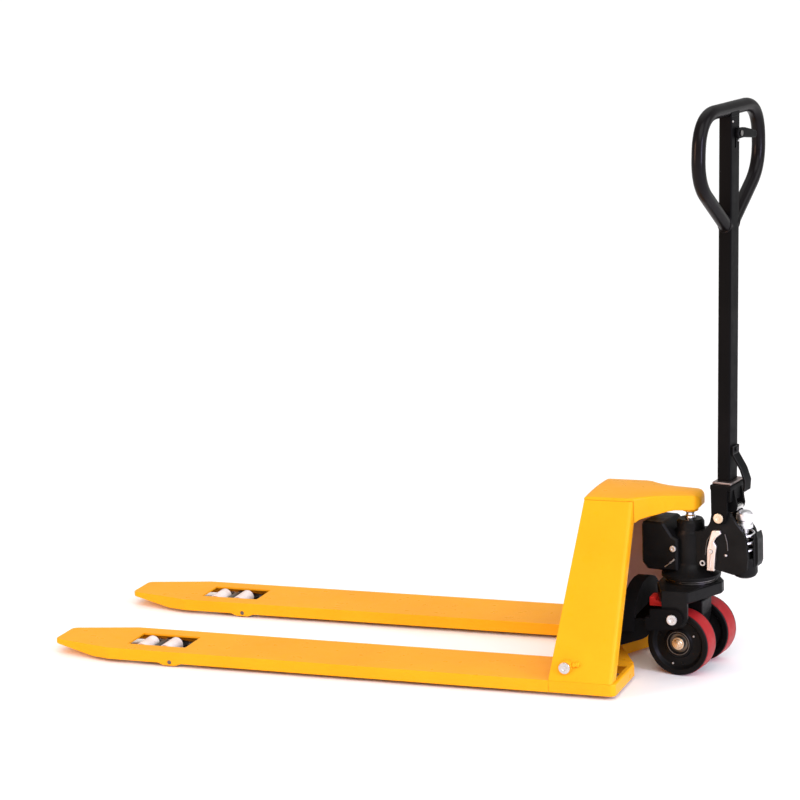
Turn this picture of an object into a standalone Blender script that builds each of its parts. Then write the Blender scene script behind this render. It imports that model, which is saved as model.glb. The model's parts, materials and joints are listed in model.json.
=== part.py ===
"""Low-profile hand pallet truck, modelled as an assembly of separate pieces.

World frame: +Z up, the floor at Z = 0, the forks point along -X, Y = 0 is the middle plane of the forks.
The origin lies on the floor under the middle of the whole truck.
Shapes are written in millimetres from the steering axis and scaled to metres when a mesh is made.
"""
import math

import bmesh
import bpy
from mathutils import Matrix, Vector

MM = 0.001

# Driving dimensions, millimetres.
TIP_REACH = 1372.0            # fork tip to steering axis
FRONT_REACH = 152.40          # steering axis to the foremost point of the pump guard, along the truck
STEER_X = (TIP_REACH - FRONT_REACH) / 2   # steering axis in the world
STEER_REST = -8.8             # degrees, how far the wheels are turned at rest
TILLER_LEAN = 1.1             # degrees, how far the tiller leans forward at rest

FORK_SPACING = 390.0
FORK_WIDTH = 160.0
FORK_TOP = 33.0
FORK_BOTTOM = 8.0
FORK_PLATE = 4.0
FORK_SKIRT = 5.0
TAPER_X = -1226.0
TIP_WIDTH = 88.0
WINDOW_X = (-1197.0, -1060.0)
WINDOW_WIDTH = 82.0
UPRIGHT_X = -232.0            # front edge of the upright; the load deck ends here
HEEL_END_X = -92.0
SKIN_GAP = 0.3                # gap between touching pieces

HEAD_TOP = 376.5
HEAD_HALF = 82.0
SIDE_TOP = 372.0
SIDE_REAR_X = -98.0
FLANGE_WIDTH = 33.0
SIDE_PLATE = 5.0

PIVOT = (-198.0, 60.0)        # rocker pivot in the frame, X and Z
PIVOT_BOSS = 268.4            # outer face of the boss around the pivot pin, from the middle plane
LEVER_Y = 107.3
LEVER_PLATE = 8.0
BASE_PIN = (-13.0, 130.0)
LEVER_RADIUS = 21.5
LEVER_END_X = -60.0            # where the outer lever plate steps in to the inner arm
ARM_Y = 95.0                   # inner face of the inner arm
ROD_Z = 21.0                  # height of the push rods
ROD_HALF = 3.5                # half the push rod's thickness

BRACKET_PIVOT = (-1081.0, 10.0)
LUG_OFFSET = (4.8, 10.3)      # push rod pin of the roller bracket from its pivot
BOGIE_PIVOT = (-1142.0, 16.5)
ROLLER_PITCH = 28.0           # bogie pivot to each roller axle
ROLLER_RADIUS = 15.8
ROLLER_HALF = 30.0

BASE_TOP = 187.0
BASE_BOTTOM = 162.0
BASE_HALF = 107.0
BASE_REAR_X = -38.0
STEM_RADIUS = 25.0

WHEEL_RADIUS = 67.5
WHEEL_WIDTH = 50.0
WHEEL_Y = 55.0
HUB_RADIUS = 57.5
FLANGE_RADIUS = 66.6          # hub flange beside the tread
AXLE_RADIUS = 10.0

TILLER_PIVOT = (80.5, 334.0)
PRESS_ROLLER = (24.0, 18.0)   # press roller from the tiller pivot
MAST_X = 81.5
MAST_SIZE = (27.6, 43.0)
MAST_BOTTOM = 407.0
MAST_TOP = 1156.5
LOOP_TOP = 1168.0
LOOP_TUBE = 14.2
PLUNGER_X = 120.0
CAP_RADIUS = 17.0
SPRING_RADIUS = 20.5
SPRING_WIRE = 2.3
SPRING_SPAN = (246.6, 307.4)
SPRING_TURNS = 5
LEVER_Z = 1119.0
RELEASE_PIVOT = (62.0, 262.0)


def clear_scene():
    for item in list(bpy.data.objects):
        bpy.data.objects.remove(item, do_unlink=True)


def material(name, colour, roughness, metallic=0.0):
    mat = bpy.data.materials.new(name)
    mat.use_nodes = True
    shader = mat.node_tree.nodes["Principled BSDF"]
    shader.inputs["Base Color"].default_value = (*colour, 1.0)
    shader.inputs["Roughness"].default_value = roughness
    shader.inputs["Metallic"].default_value = metallic
    mat.diffuse_color = (*colour, 1.0)
    return mat


# ---------------------------------------------------------------- shape tools

def finish(bm, name):
    """Turn a bmesh in millimetres into a mesh in millimetres with faces pointing out."""
    bmesh.ops.recalc_face_normals(bm, faces=bm.faces)
    mesh = bpy.data.meshes.new(name)
    bm.to_mesh(mesh)
    bm.free()
    return mesh


def fillet(points, radius, steps=4):
    """Outline with every corner rounded by an arc. A radius may be one number or one per corner."""
    radii = radius if isinstance(radius, (list, tuple)) else [radius] * len(points)
    outline = []
    for i, corner in enumerate(points):
        here = Vector(corner)
        before = Vector(points[i - 1]) - here
        after = Vector(points[(i + 1) % len(points)]) - here
        angle = before.angle(after)
        if radii[i] <= 0 or angle > math.pi - 0.01:
            outline.append(tuple(here))
            continue
        reach = min(radii[i] / math.tan(angle / 2), before.length * 0.49, after.length * 0.49)
        bulge = reach * math.tan(angle / 2)
        middle = here + (before.normalized() + after.normalized()).normalized() * (bulge / math.sin(angle / 2))
        start = here + before.normalized() * reach - middle
        stop = here + after.normalized() * reach - middle
        sweep = start.angle_signed(stop)
        for step in range(steps + 1):
            turn = -sweep * step / steps
            spun = Matrix.Rotation(turn, 2) @ start
            outline.append(tuple(middle + spun))
    return outline


def circle(centre, radius, steps=32):
    return [(centre[0] + radius * math.cos(math.tau * i / steps),
             centre[1] + radius * math.sin(math.tau * i / steps)) for i in range(steps)]


def capsule(a, b, radius_a, radius_b, steps=12):
    """Outline around two circles, like a link plate with round ends."""
    start, end = Vector(a), Vector(b)
    along = end - start
    heading = math.atan2(along.y, along.x)
    lean = math.acos((radius_a - radius_b) / along.length)
    outline = []
    for i in range(steps + 1):
        turn = heading + lean + (math.tau - 2 * lean) * i / steps
        outline.append((start.x + radius_a * math.cos(turn), start.y + radius_a * math.sin(turn)))
    for i in range(steps + 1):
        turn = heading - lean + 2 * lean * i / steps
        outline.append((end.x + radius_b * math.cos(turn), end.y + radius_b * math.sin(turn)))
    return outline


def axis_point(axis, u, v, w):
    """A point from outline coordinates u, v and a depth w along the axis."""
    if axis == "Y":
        return (u, w, v)
    if axis == "X":
        return (w, u, v)
    return (u, v, w)


def prism(outline, axis, low, high, bevel=0.0, segments=2):
    """Extrude an outline along an axis. X uses (Y, Z), Y uses (X, Z) and Z uses (X, Y) outlines."""
    bm = bmesh.new()
    base = [bm.verts.new(axis_point(axis, u, v, low)) for u, v in outline]
    face = bm.faces.new(base)
    moved = bmesh.ops.extrude_face_region(bm, geom=[face])
    shift = Vector(axis_point(axis, 0, 0, high - low))
    top = [item for item in moved["geom"] if isinstance(item, bmesh.types.BMVert)]
    bmesh.ops.translate(bm, verts=top, vec=shift)
    if bevel:
        rims = [edge for edge in bm.edges if abs((edge.verts[0].co - edge.verts[1].co).dot(shift)) < 1e-3]
        bmesh.ops.recalc_face_normals(bm, faces=bm.faces)
        bmesh.ops.bevel(bm, geom=rims, offset=bevel, segments=segments, affect="EDGES", profile=0.5)
    return finish(bm, "prism")


def box(low, high, bevel=0.0):
    outline = [(low[0], low[1]), (high[0], low[1]), (high[0], high[1]), (low[0], high[1])]
    if bevel:
        outline = fillet(outline, bevel, 3)
    return prism(outline, "Z", low[2], high[2], bevel * 0.9, 2)


def rod(axis, centre, radius, low, high, steps=20, bevel=0.0):
    return prism(circle(centre, radius, steps), axis, low, high, bevel, 1)


def turned(profile, axis, centre, steps=48):
    """Turn a closed outline of (radius, depth) points about an axis through a centre."""
    bm = bmesh.new()
    rings = []
    for i in range(steps):
        turn = math.tau * i / steps
        ring = []
        for radius, depth in profile:
            u = centre[0] + radius * math.cos(turn)
            v = centre[1] + radius * math.sin(turn)
            ring.append(bm.verts.new(axis_point(axis, u, v, depth)))
        rings.append(ring)
    for i in range(steps):
        here, after = rings[i], rings[(i + 1) % steps]
        for j in range(len(profile)):
            k = (j + 1) % len(profile)
            if profile[j][0] > 0 or profile[k][0] > 0:
                bm.faces.new((here[j], here[k], after[k], after[j]))
    bmesh.ops.remove_doubles(bm, verts=bm.verts, dist=1e-4)
    return finish(bm, "turned")


def loft(sections):
    """Closed body through outlines of equal length, capped at both ends."""
    bm = bmesh.new()
    loops = [[bm.verts.new(point) for point in section] for section in sections]
    bm.faces.new(loops[0])
    bm.faces.new(loops[-1])
    for low, high in zip(loops, loops[1:]):
        for i in range(len(low)):
            j = (i + 1) % len(low)
            bm.faces.new((low[i], low[j], high[j], high[i]))
    return finish(bm, "loft")


def sweep(path, radius, steps=12, closed=False):
    """Round bar along a list of 3-D points."""
    bm = bmesh.new()
    count = len(path)
    points = [Vector(point) for point in path]
    side = Vector((1, 0, 0))
    loops = []
    for i, point in enumerate(points):
        before = points[i - 1] if (i or closed) else point
        after = points[(i + 1) % count] if (i < count - 1 or closed) else point
        tangent = (after - before).normalized()
        side = (side - tangent * side.dot(tangent)).normalized()
        up = tangent.cross(side)
        loops.append([bm.verts.new(point + side * radius * math.cos(math.tau * k / steps)
                                   + up * radius * math.sin(math.tau * k / steps)) for k in range(steps)])
    pairs = list(zip(loops, loops[1:] + loops[:1])) if closed else list(zip(loops, loops[1:]))
    for low, high in pairs:
        for i in range(steps):
            j = (i + 1) % steps
            bm.faces.new((low[i], low[j], high[j], high[i]))
    if not closed:
        bm.faces.new(loops[0])
        bm.faces.new(loops[-1])
    return finish(bm, "sweep")


# ---------------------------------------------------------------- assembly tools

class Assembly:
    """Keeps the parent empties and adds each piece under the empty that it moves with."""

    def __init__(self):
        self.empties = {}
        self.offsets = {}

    def group(self, name, parent, place, turn=0.0, lean=0.0):
        empty = bpy.data.objects.new(f"{name}_joint", None)
        empty.empty_display_size = 0.03
        bpy.context.scene.collection.objects.link(empty)
        start = Vector((0, 0, 0))
        if parent:
            empty.parent = self.empties[parent]
            start = self.offsets[parent]
        empty.location = (Vector(place) - start) * MM
        empty.rotation_euler = (0, math.radians(lean), math.radians(turn))
        self.empties[name] = empty
        self.offsets[name] = Vector(place)

    def place(self, name, mesh, group, guide=False):
        mesh.transform(Matrix.Translation(-self.offsets[group]))
        mesh.transform(Matrix.Scale(MM, 4))
        mesh.name = name
        piece = bpy.data.objects.new(name, mesh)
        piece.parent = self.empties[group]
        bpy.context.scene.collection.objects.link(piece)
        if guide:
            piece.hide_render = True
            piece.display_type = "WIRE"
        else:
            mesh.shade_smooth()
            mesh.set_sharp_from_angle(angle=math.radians(32))
        return piece

    def add(self, name, mesh, mat, group, joined=(), cuts=()):
        piece = self.place(name, mesh, group)
        piece.data.materials.append(mat)
        tools = [("UNION", extra) for extra in joined] + [("DIFFERENCE", extra) for extra in cuts]
        for number, (operation, extra) in enumerate(tools):
            guide = self.place(f"{name}_shape_{number}", extra, group, guide=True)
            step = piece.modifiers.new(f"{operation.lower()}_{number}", "BOOLEAN")
            step.operation = operation
            step.solver = "EXACT"
            step.object = guide
        return piece


def sides():
    """Name, sign and fork centre line of the near and the far side."""
    for name, sign in (("left", -1), ("right", 1)):
        yield name, sign, sign * FORK_SPACING / 2


# ---------------------------------------------------------------- frame

def fork_outline(inset, tip_x, rear_x, tip_half):
    half = FORK_WIDTH / 2 - inset
    points = [(rear_x, -half), (rear_x, half), (TAPER_X, half), (tip_x, tip_half), (tip_x, -tip_half),
              (TAPER_X, -half)]
    return fillet(points, [0, 0, 40, 14, 14, 40], 4)


def shifted(outline, du, dv):
    return [(u + du, v + dv) for u, v in outline]


def fork(build, paint, name, sign, y):
    skin = prism(shifted(fork_outline(0, -TIP_REACH, UPRIGHT_X, TIP_WIDTH / 2), 0, y), "Z",
                 FORK_BOTTOM, FORK_TOP)
    ceiling = FORK_TOP - FORK_PLATE
    hollow = prism(shifted(fork_outline(FORK_SKIRT, -1290.0, UPRIGHT_X + 40, 46), 0, y), "Z",
                   FORK_BOTTOM - 4, ceiling)
    window = box((WINDOW_X[0], y - WINDOW_WIDTH / 2, ceiling - 2), (WINDOW_X[1], y + WINDOW_WIDTH / 2, 40))
    nose = prism([(-1380, 0), (-1262, 0), (-1262, 7), (-1380, 25)], "Y", y - 90, y + 90)
    pin_x, pin_z = BRACKET_PIVOT
    tab = [(pin_x - 30, 9), (pin_x - 14, 3), (pin_x + 14, 3), (pin_x + 30, 9)]
    outer = y + sign * FORK_WIDTH / 2
    tabs = []
    for edge in (outer, outer - sign * (FORK_WIDTH - FORK_SKIRT)):
        tabs.append(prism(tab, "Y", min(edge, edge - sign * FORK_SKIRT), max(edge, edge - sign * FORK_SKIRT)))
    hole = rod("Y", BRACKET_PIVOT, 4.8, y - 90, y + 90, 16)
    build.add(f"fork_{name}", skin, paint, "truck", tabs, [hollow, window, nose, hole])


def heel(build, paint, name, sign, y):
    start = UPRIGHT_X + SKIN_GAP
    half = FORK_WIDTH / 2
    body = prism(fillet([(start, y - half), (HEEL_END_X, y - half), (HEEL_END_X, y + half), (start, y + half)],
                        [0, 12, 12, 0], 4), "Z", FORK_BOTTOM, FORK_TOP)
    hollow = box((start - 5, y - half + FORK_SKIRT, FORK_BOTTOM - 4),
                 (HEEL_END_X - FORK_SKIRT, y + half - FORK_SKIRT, FORK_TOP - FORK_PLATE))
    inner, outer = y - sign * 58, y + sign * 62
    mouth = box((-224, min(inner, outer), FORK_TOP - FORK_PLATE - 2), (-103, max(inner, outer), FORK_TOP + 5))
    build.add(f"heel_{name}", body, paint, "truck", (), [hollow, mouth])


def side_section(front_x, rear_x, outer_y, sign, z):
    """L-shaped section of an upright's side: a plate with an inward flange on its rear edge."""
    inward = -sign
    points = [(front_x, 0), (rear_x, 0), (rear_x, FLANGE_WIDTH), (rear_x - SIDE_PLATE, FLANGE_WIDTH),
              (rear_x - SIDE_PLATE, SIDE_PLATE), (front_x, SIDE_PLATE)]
    return [(x, outer_y + inward * inset, z) for x, inset in points]


def side_plate(build, paint, name, sign):
    foot = side_section(UPRIGHT_X, SIDE_REAR_X, sign * (FORK_SPACING + FORK_WIDTH) / 2, sign, FORK_TOP + SKIN_GAP)
    top = side_section(-203.0, SIDE_REAR_X - 2, sign * HEAD_HALF, sign, SIDE_TOP)
    plate = loft([foot, top])
    low, high = sorted((sign * 256, sign * PIVOT_BOSS))
    boss = rod("Y", PIVOT, 14, low, high, 20)
    low, high = sorted((sign * 250, sign * 264.5))
    stop_lug = prism(capsule((PIVOT[0] + 17, 65), (PIVOT[0] + 26, 67), 4.5, 4.0, 6), "Y", low, high)
    low, high = sorted((sign * 200, sign * 290))
    hole = rod("Y", PIVOT, 9.4, low, high, 16)
    build.add(f"side_plate_{name}", plate, paint, "truck", [boss, stop_lug], [hole])


def front_panel(build, paint):
    """Upright panel between the side plates, set a little behind their front edges."""
    lean = (275.0 - HEAD_HALF) / (SIDE_TOP - FORK_TOP)
    sections = []
    for z, x in ((FORK_TOP + 5, -226.0), (SIDE_TOP - 4, -198.5)):
        half = 275.0 - (z - FORK_TOP) * lean - 6.6
        sections.append([(x, -half, z), (x, half, z), (x + 4, half, z), (x + 4, -half, z)])
    build.add("front_panel", loft(sections), paint, "truck")


def floor_plate(build, paint):
    """Plate between the fork heels with a notch for the wheels and a lip along the notch."""
    half = FORK_SPACING / 2 - FORK_WIDTH / 2 - SKIN_GAP
    notch = [(HEEL_END_X - 4, -half), (-153, -6), (-153, 6), (HEEL_END_X - 4, half)]
    plate = prism([(UPRIGHT_X, half), (UPRIGHT_X, -half)] + notch, "Z", FORK_TOP - FORK_PLATE, FORK_TOP)
    inner = [(x - 5.5, y) for x, y in notch]
    lip = prism(notch + inner[::-1], "Z", FORK_BOTTOM, FORK_TOP - 1)
    build.add("floor_plate", plate, paint, "truck", [lip])


def head_cover(build, paint):
    """Pressed head: a box over the side plates that tapers to a round nose over the pump."""
    low = SIDE_TOP + SKIN_GAP
    shell_side = [(-204, low), (-204, HEAD_TOP), (20, HEAD_TOP - 1), (28, HEAD_TOP - 12), (28, 350), (18, 342),
                  (-24, 342), (-60, 333), (-90, 326), (-99.2, 318), (-99.2, low)]
    shoulder = [(-210, HEAD_HALF), (-106, HEAD_HALF), (-74, 51), (-36, 39), (29, 31)]
    plan = fillet([(x, -y) for x, y in shoulder] + shoulder[::-1], [0, 18, 18, 30, 24, 24, 30, 18, 18, 0], 4)
    shape = prism(plan, "Z", 300, 400)
    side = prism(fillet(shell_side, [0, 8, 10, 8, 8, 12, 30, 40, 10, 2, 0], 4), "Y", -110, 110)
    body = build.add("head_cover", side, paint, "truck")
    guide = build.place("head_cover_plan", shape, "truck", guide=True)
    meet = body.modifiers.new("plan", "BOOLEAN")
    meet.operation = "INTERSECT"
    meet.solver = "EXACT"
    meet.object = guide
    hollow_side = [(-95, 310), (-95, 371), (-20, 371), (12, 368), (12, 346), (-24, 346), (-60, 338),
                   (-88, 322)]
    hollow = build.place("head_cover_hollow", prism(hollow_side, "Y", -26, 26), "truck", guide=True)
    cut = body.modifiers.new("hollow", "BOOLEAN")
    cut.operation = "DIFFERENCE"
    cut.solver = "EXACT"
    cut.object = hollow


def head_seat(build, paint):
    """Socket under the nose that rests on the ball end of the piston rod."""
    profile = [(0, 341.7), (0, 337.3), (7.5, 336.2), (13, 333.5), (17, 334.5), (17, 341.7)]
    build.add("head_seat", turned(profile, "Z", (0, 0), 24), paint, "truck")


def piston_rod(build, chrome):
    profile = [(0, 252), (11, 252), (11, 324), (9, 326), (9, 330.5), (11.2, 331.8), (7.5, 335.6), (0, 336.9)]
    build.add("piston_rod", turned(profile, "Z", (0, 0), 24), chrome, "truck")


def frame_pins(build, steel):
    """Rocker pivot pins through the side plates, and the roller bracket pins through the fork tabs."""
    for name, sign, y in sides():
        low, high = sorted((sign * 212.0, sign * (PIVOT_BOSS + 1.5)))
        pin = rod("Y", PIVOT, 9.0, low, high, 16)
        low, high = sorted((sign * (PIVOT_BOSS + SKIN_GAP), sign * (PIVOT_BOSS + 4.5)))
        head = rod("Y", PIVOT, 12.0, low, high, 20, 1.2)
        build.add(f"pivot_pin_{name}", pin, steel, "truck", [head])
        reach = FORK_WIDTH / 2 - 0.4
        build.add(f"bracket_pin_{name}", rod("Y", BRACKET_PIVOT, 4.5, y - reach, y + reach, 16), steel, "truck")


# ---------------------------------------------------------------- rocker, push rods and load rollers

def rocker_lever(sign):
    """One cranked lever: a plate outside the base, a step inward and an arm down to the torsion tube."""
    outer = LEVER_Y + LEVER_PLATE
    outline = [(LEVER_END_X, 104.5), (LEVER_END_X, 148.5)]
    for i in range(11):
        turn = math.radians(100 - 20 * i)
        outline.append((BASE_PIN[0] + LEVER_RADIUS * math.cos(turn), BASE_PIN[1] + LEVER_RADIUS * math.sin(turn)))
    low, high = sorted((sign * LEVER_Y, sign * outer))
    plate = prism(outline, "Y", low, high)
    low, high = sorted((sign * ARM_Y, sign * outer))
    step = box((LEVER_END_X - 10, low, 104.5), (LEVER_END_X + 1, high, 131))
    low, high = sorted((sign * ARM_Y, sign * (ARM_Y + LEVER_PLATE)))
    arm = prism(capsule((LEVER_END_X - 26, 102), PIVOT, 22, 20, 8), "Y", low, high)
    return [plate, step, arm]


def rocker_arm(build, black):
    """Torsion tube with two long levers to the base, a brace between them and a short arm in each heel."""
    tube = turned([(9.5, -231), (15, -231), (15, 231), (9.5, 231)], "Y", PIVOT, 16)
    extras = []
    for name, sign, y in sides():
        extras += rocker_lever(sign)
        arm = capsule(PIVOT, (PIVOT[0], ROD_Z), 17, 7, 6)
        extras.append(prism(arm, "Y", y + ROD_HALF + 1.5, y + ROD_HALF + 8.5))
        extras.append(rod("Y", (PIVOT[0], ROD_Z), 3.5, y - ROD_HALF - 2, y + ROD_HALF + 4, 12))
    arch = []
    for i in range(11):
        turn = math.pi * i / 10
        arch.append((-112 * math.cos(turn), 98 + 86 * math.sin(turn) ** 0.8))
    brace = prism(arch + [(104, 96), (98, 116), (84, 127), (-84, 127), (-98, 116), (-104, 96)], "X", -124, -96)
    bores = []
    for sign in (-1, 1):
        low, high = sorted((sign * 100, sign * 125))
        bores.append(rod("Y", BASE_PIN, 8.3, low, high, 16))
    bores.append(rod("Y", PIVOT, 9.5, -240, 240, 16))
    build.add("rocker_arm", tube, black, "rocker", extras + [brace], bores)


def base_pins(build, steel):
    """Pins that join the levers to the base, with a washer-like head on the outside."""
    for name, sign, y in sides():
        low, high = sorted((sign * 96.5, sign * (LEVER_Y + LEVER_PLATE + 1)))
        pin = rod("Y", BASE_PIN, 8.0, low, high, 20)
        low, high = sorted((sign * (LEVER_Y + LEVER_PLATE + 0.3), sign * (LEVER_Y + LEVER_PLATE + 4.5)))
        head = rod("Y", BASE_PIN, 11.0, low, high, 20, 1.2)
        build.add(f"base_pin_{name}", pin, steel, "rocker", [head])


def push_rod(build, black, name, y):
    """Flat bar in the middle of the fork with an eye at each end."""
    low, high = y - ROD_HALF, y + ROD_HALF
    rear = (PIVOT[0], ROD_Z)
    front = (BRACKET_PIVOT[0] + LUG_OFFSET[0], BRACKET_PIVOT[1] + LUG_OFFSET[1])
    bar = prism([(front[0], 16.3), (rear[0], 16.3), (rear[0], 25), (front[0], 25)], "Y", low, high)
    eyes = [prism(circle(rear, 7.0, 16), "Y", low, high), prism(circle(front, 5.3, 16), "Y", low, high)]
    holes = [rod("Y", rear, 5.1, low - 3, high + 3, 12), rod("Y", front, 4.2, low - 3, high + 3, 12)]
    build.add(f"push_rod_{name}", bar, black, f"rod_{name}", eyes, holes)


def roller_bracket(build, steel, name, y):
    """Swinging bracket: two sleeves on the fork pin, an arm each to the bogie pin and a push rod clevis."""
    near = turned([(5.0, y - 70), (7.4, y - 70), (7.4, y - 12), (5.0, y - 12)], "Y", BRACKET_PIVOT, 16)
    far = turned([(5.0, y + 12), (7.4, y + 12), (7.4, y + 70), (5.0, y + 70)], "Y", BRACKET_PIVOT, 16)
    extras = [far]
    for centre in (y - 49, y + 49):
        extras.append(prism(capsule(BRACKET_PIVOT, BOGIE_PIVOT, 7.0, 7.0, 6), "Y", centre - 3, centre + 3))
    lug_top = (BRACKET_PIVOT[0] + LUG_OFFSET[0], BRACKET_PIVOT[1] + LUG_OFFSET[1])
    for centre in (y - 14.5, y + 14.5):
        extras.append(prism(capsule(BRACKET_PIVOT, lug_top, 6.6, 4.6, 6), "Y", centre - 2, centre + 2))
    extras.append(rod("Y", lug_top, 2.8, y - 14, y + 14, 10))
    extras.append(rod("Y", BOGIE_PIVOT, 4.5, y - 50, y + 50, 12))
    bore = rod("Y", BRACKET_PIVOT, 4.9, y - 75, y + 75, 16)
    build.add(f"roller_bracket_{name}", near, steel, f"bracket_{name}", extras, [bore])


def roller_bogie(build, steel, name, y):
    """Two side links with both roller axles and a sleeve that turns on the bracket's cross pin."""
    x, z = BOGIE_PIVOT
    low_link = [(x - ROLLER_PITCH, z), (x + ROLLER_PITCH, z)]
    link = prism(capsule(low_link[0], low_link[1], 8.5, 8.5, 6), "Y", y - 36, y - 32)
    extras = [prism(capsule(low_link[0], low_link[1], 8.5, 8.5, 6), "Y", y + 32, y + 36)]
    for axle in low_link:
        extras.append(rod("Y", axle, 5.0, y - 35, y + 35, 12))
    extras.append(rod("Y", BOGIE_PIVOT, 9.0, y - 35, y + 35, 16))
    bore = rod("Y", BOGIE_PIVOT, 4.9, y - 45, y + 45, 12)
    build.add(f"roller_bogie_{name}", link, steel, f"bogie_{name}", extras, [bore])


def load_roller(build, nylon, name, axle, y, group):
    edge = 1.5
    low, high = y - ROLLER_HALF, y + ROLLER_HALF
    profile = [(5.3, low), (ROLLER_RADIUS - edge, low), (ROLLER_RADIUS, low + edge),
               (ROLLER_RADIUS, high - edge), (ROLLER_RADIUS - edge, high), (5.3, high)]
    build.add(name, turned(profile, "Y", axle, 20), nylon, group)


# ---------------------------------------------------------------- base, steering and pump

def base_bracket(build, black):
    """Pointed base that carries the pump: a thick top with a cheek down each side for the lever pins."""
    plan = fillet([(BASE_REAR_X, -BASE_HALF), (18, -BASE_HALF), (67, -9), (67, 9), (18, BASE_HALF),
                   (BASE_REAR_X, BASE_HALF), (-64, 36), (-64, -36)], [6, 8, 8, 8, 8, 6, 14, 14], 3)
    top = prism(plan, "Z", BASE_BOTTOM, BASE_TOP, 2.0, 1)
    cheeks = []
    slots = []
    for sign in (-1, 1):
        low, high = sorted((sign * 96.5, sign * (BASE_HALF - 0.2)))
        outline = fillet([(BASE_REAR_X + 0.5, 170), (BASE_REAR_X + 4, 112), (12, 112), (17, 130), (17, 170)],
                         [0, 8, 12, 6, 0], 4)
        cheeks.append(prism(outline, "Y", low, high))
        slot = capsule(BASE_PIN, (BASE_PIN[0] + 13, BASE_PIN[1]), 9.2, 9.2, 10)
        slots.append(prism(slot, "Y", low - 3, high + 3))
    bore = rod("Z", (0, 0), STEM_RADIUS + 0.6, 150, 195, 32)
    build.add("base_bracket", top, black, "base", cheeks, [bore] + slots)


def thrust_bearing(build, steel):
    z = BASE_TOP + SKIN_GAP
    profile = [(STEM_RADIUS + 1, z), (54, z), (54, z + 2.4), (51, z + 3.2), (54, z + 4), (54, z + 6.4),
               (STEM_RADIUS + 1, z + 6.4)]
    build.add("thrust_bearing", turned(profile, "Z", (0, 0), 28), steel, "base")


def buffer_block(build, red):
    """Red buffer under the rear edge of the base."""
    block = box((-74, -64, 142), (-48, -32, BASE_BOTTOM - SKIN_GAP), 3)
    build.add("buffer", block, red, "base")


def axle_bracket(build, black):
    """Stem through the base and block between the wheels; it turns with the pump."""
    stem = rod("Z", (0, 0), STEM_RADIUS, 120, 193.6, 32)
    side = fillet([(-27, 88), (-20, 44), (20, 44), (27, 88), (34, 118), (34, 149), (-27, 149)],
                  [12, 16, 16, 12, 6, 4, 4], 3)
    block = prism(side, "Y", -25.5, 25.5, 1.5, 1)
    bore = rod("Y", (0, WHEEL_RADIUS), AXLE_RADIUS + 0.3, -40, 40, 24)
    build.add("axle_bracket", stem, black, "steering", [block], [bore])


def wheel_axle(build, steel):
    reach = WHEEL_Y + WHEEL_WIDTH / 2 - 6
    build.add("wheel_axle", rod("Y", (0, WHEEL_RADIUS), AXLE_RADIUS, -reach, reach, 20, 1), steel, "steering")


def axle_nuts(build, brass):
    for name, sign, y in sides():
        low, high = sorted((sign * 74.3, sign * 79.5))
        nut = rod("Y", (0, WHEEL_RADIUS), 9.5, low, high, 6, 0.8)
        build.add(f"axle_nut_{name}", nut, brass, "steering")


def steer_wheel(build, black, red, steel, name, sign):
    group = f"wheel_{name}"
    centre = (0, WHEEL_RADIUS)
    y = sign * WHEEL_Y
    half = WHEEL_WIDTH / 2
    out = sign
    hub_profile = [(20.6, -half + 4), (29, -half + 4), (49, -half + 8), (57, -half + 1.2),
                   (FLANGE_RADIUS - 1.5, -half + 0.6), (FLANGE_RADIUS, -half + 2), (FLANGE_RADIUS, -half + 5),
                   (HUB_RADIUS, -half + 5), (HUB_RADIUS, half - 5), (FLANGE_RADIUS, half - 5),
                   (FLANGE_RADIUS, half - 2), (FLANGE_RADIUS - 1.5, half - 0.6), (57, half - 1.2),
                   (50, half - 9), (31, half - 9), (29, half - 6), (20.6, half - 6)]
    profile = [(radius, y + out * depth) for radius, depth in hub_profile]
    build.add(f"wheel_hub_{name}", turned(profile, "Y", centre, 40), black, group)
    edge = 1.6
    flank = half - 5 - SKIN_GAP
    tread_profile = [(HUB_RADIUS + SKIN_GAP, flank), (WHEEL_RADIUS - edge, flank), (WHEEL_RADIUS, flank - edge),
                     (WHEEL_RADIUS, edge - flank), (WHEEL_RADIUS - edge, -flank), (HUB_RADIUS + SKIN_GAP, -flank)]
    profile = [(radius, y + out * depth) for radius, depth in tread_profile]
    build.add(f"wheel_tread_{name}", turned(profile, "Y", centre, 48), red, group)
    bearing = [(AXLE_RADIUS + 0.4, -20), (20.3, -20), (20.3, 15.8), (17.5, 14.6), (13.5, 15.8),
               (AXLE_RADIUS + 0.4, 15.8)]
    profile = [(radius, y + out * depth) for radius, depth in bearing]
    build.add(f"wheel_bearing_{name}", turned(profile, "Y", centre, 20), steel, group)


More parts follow.
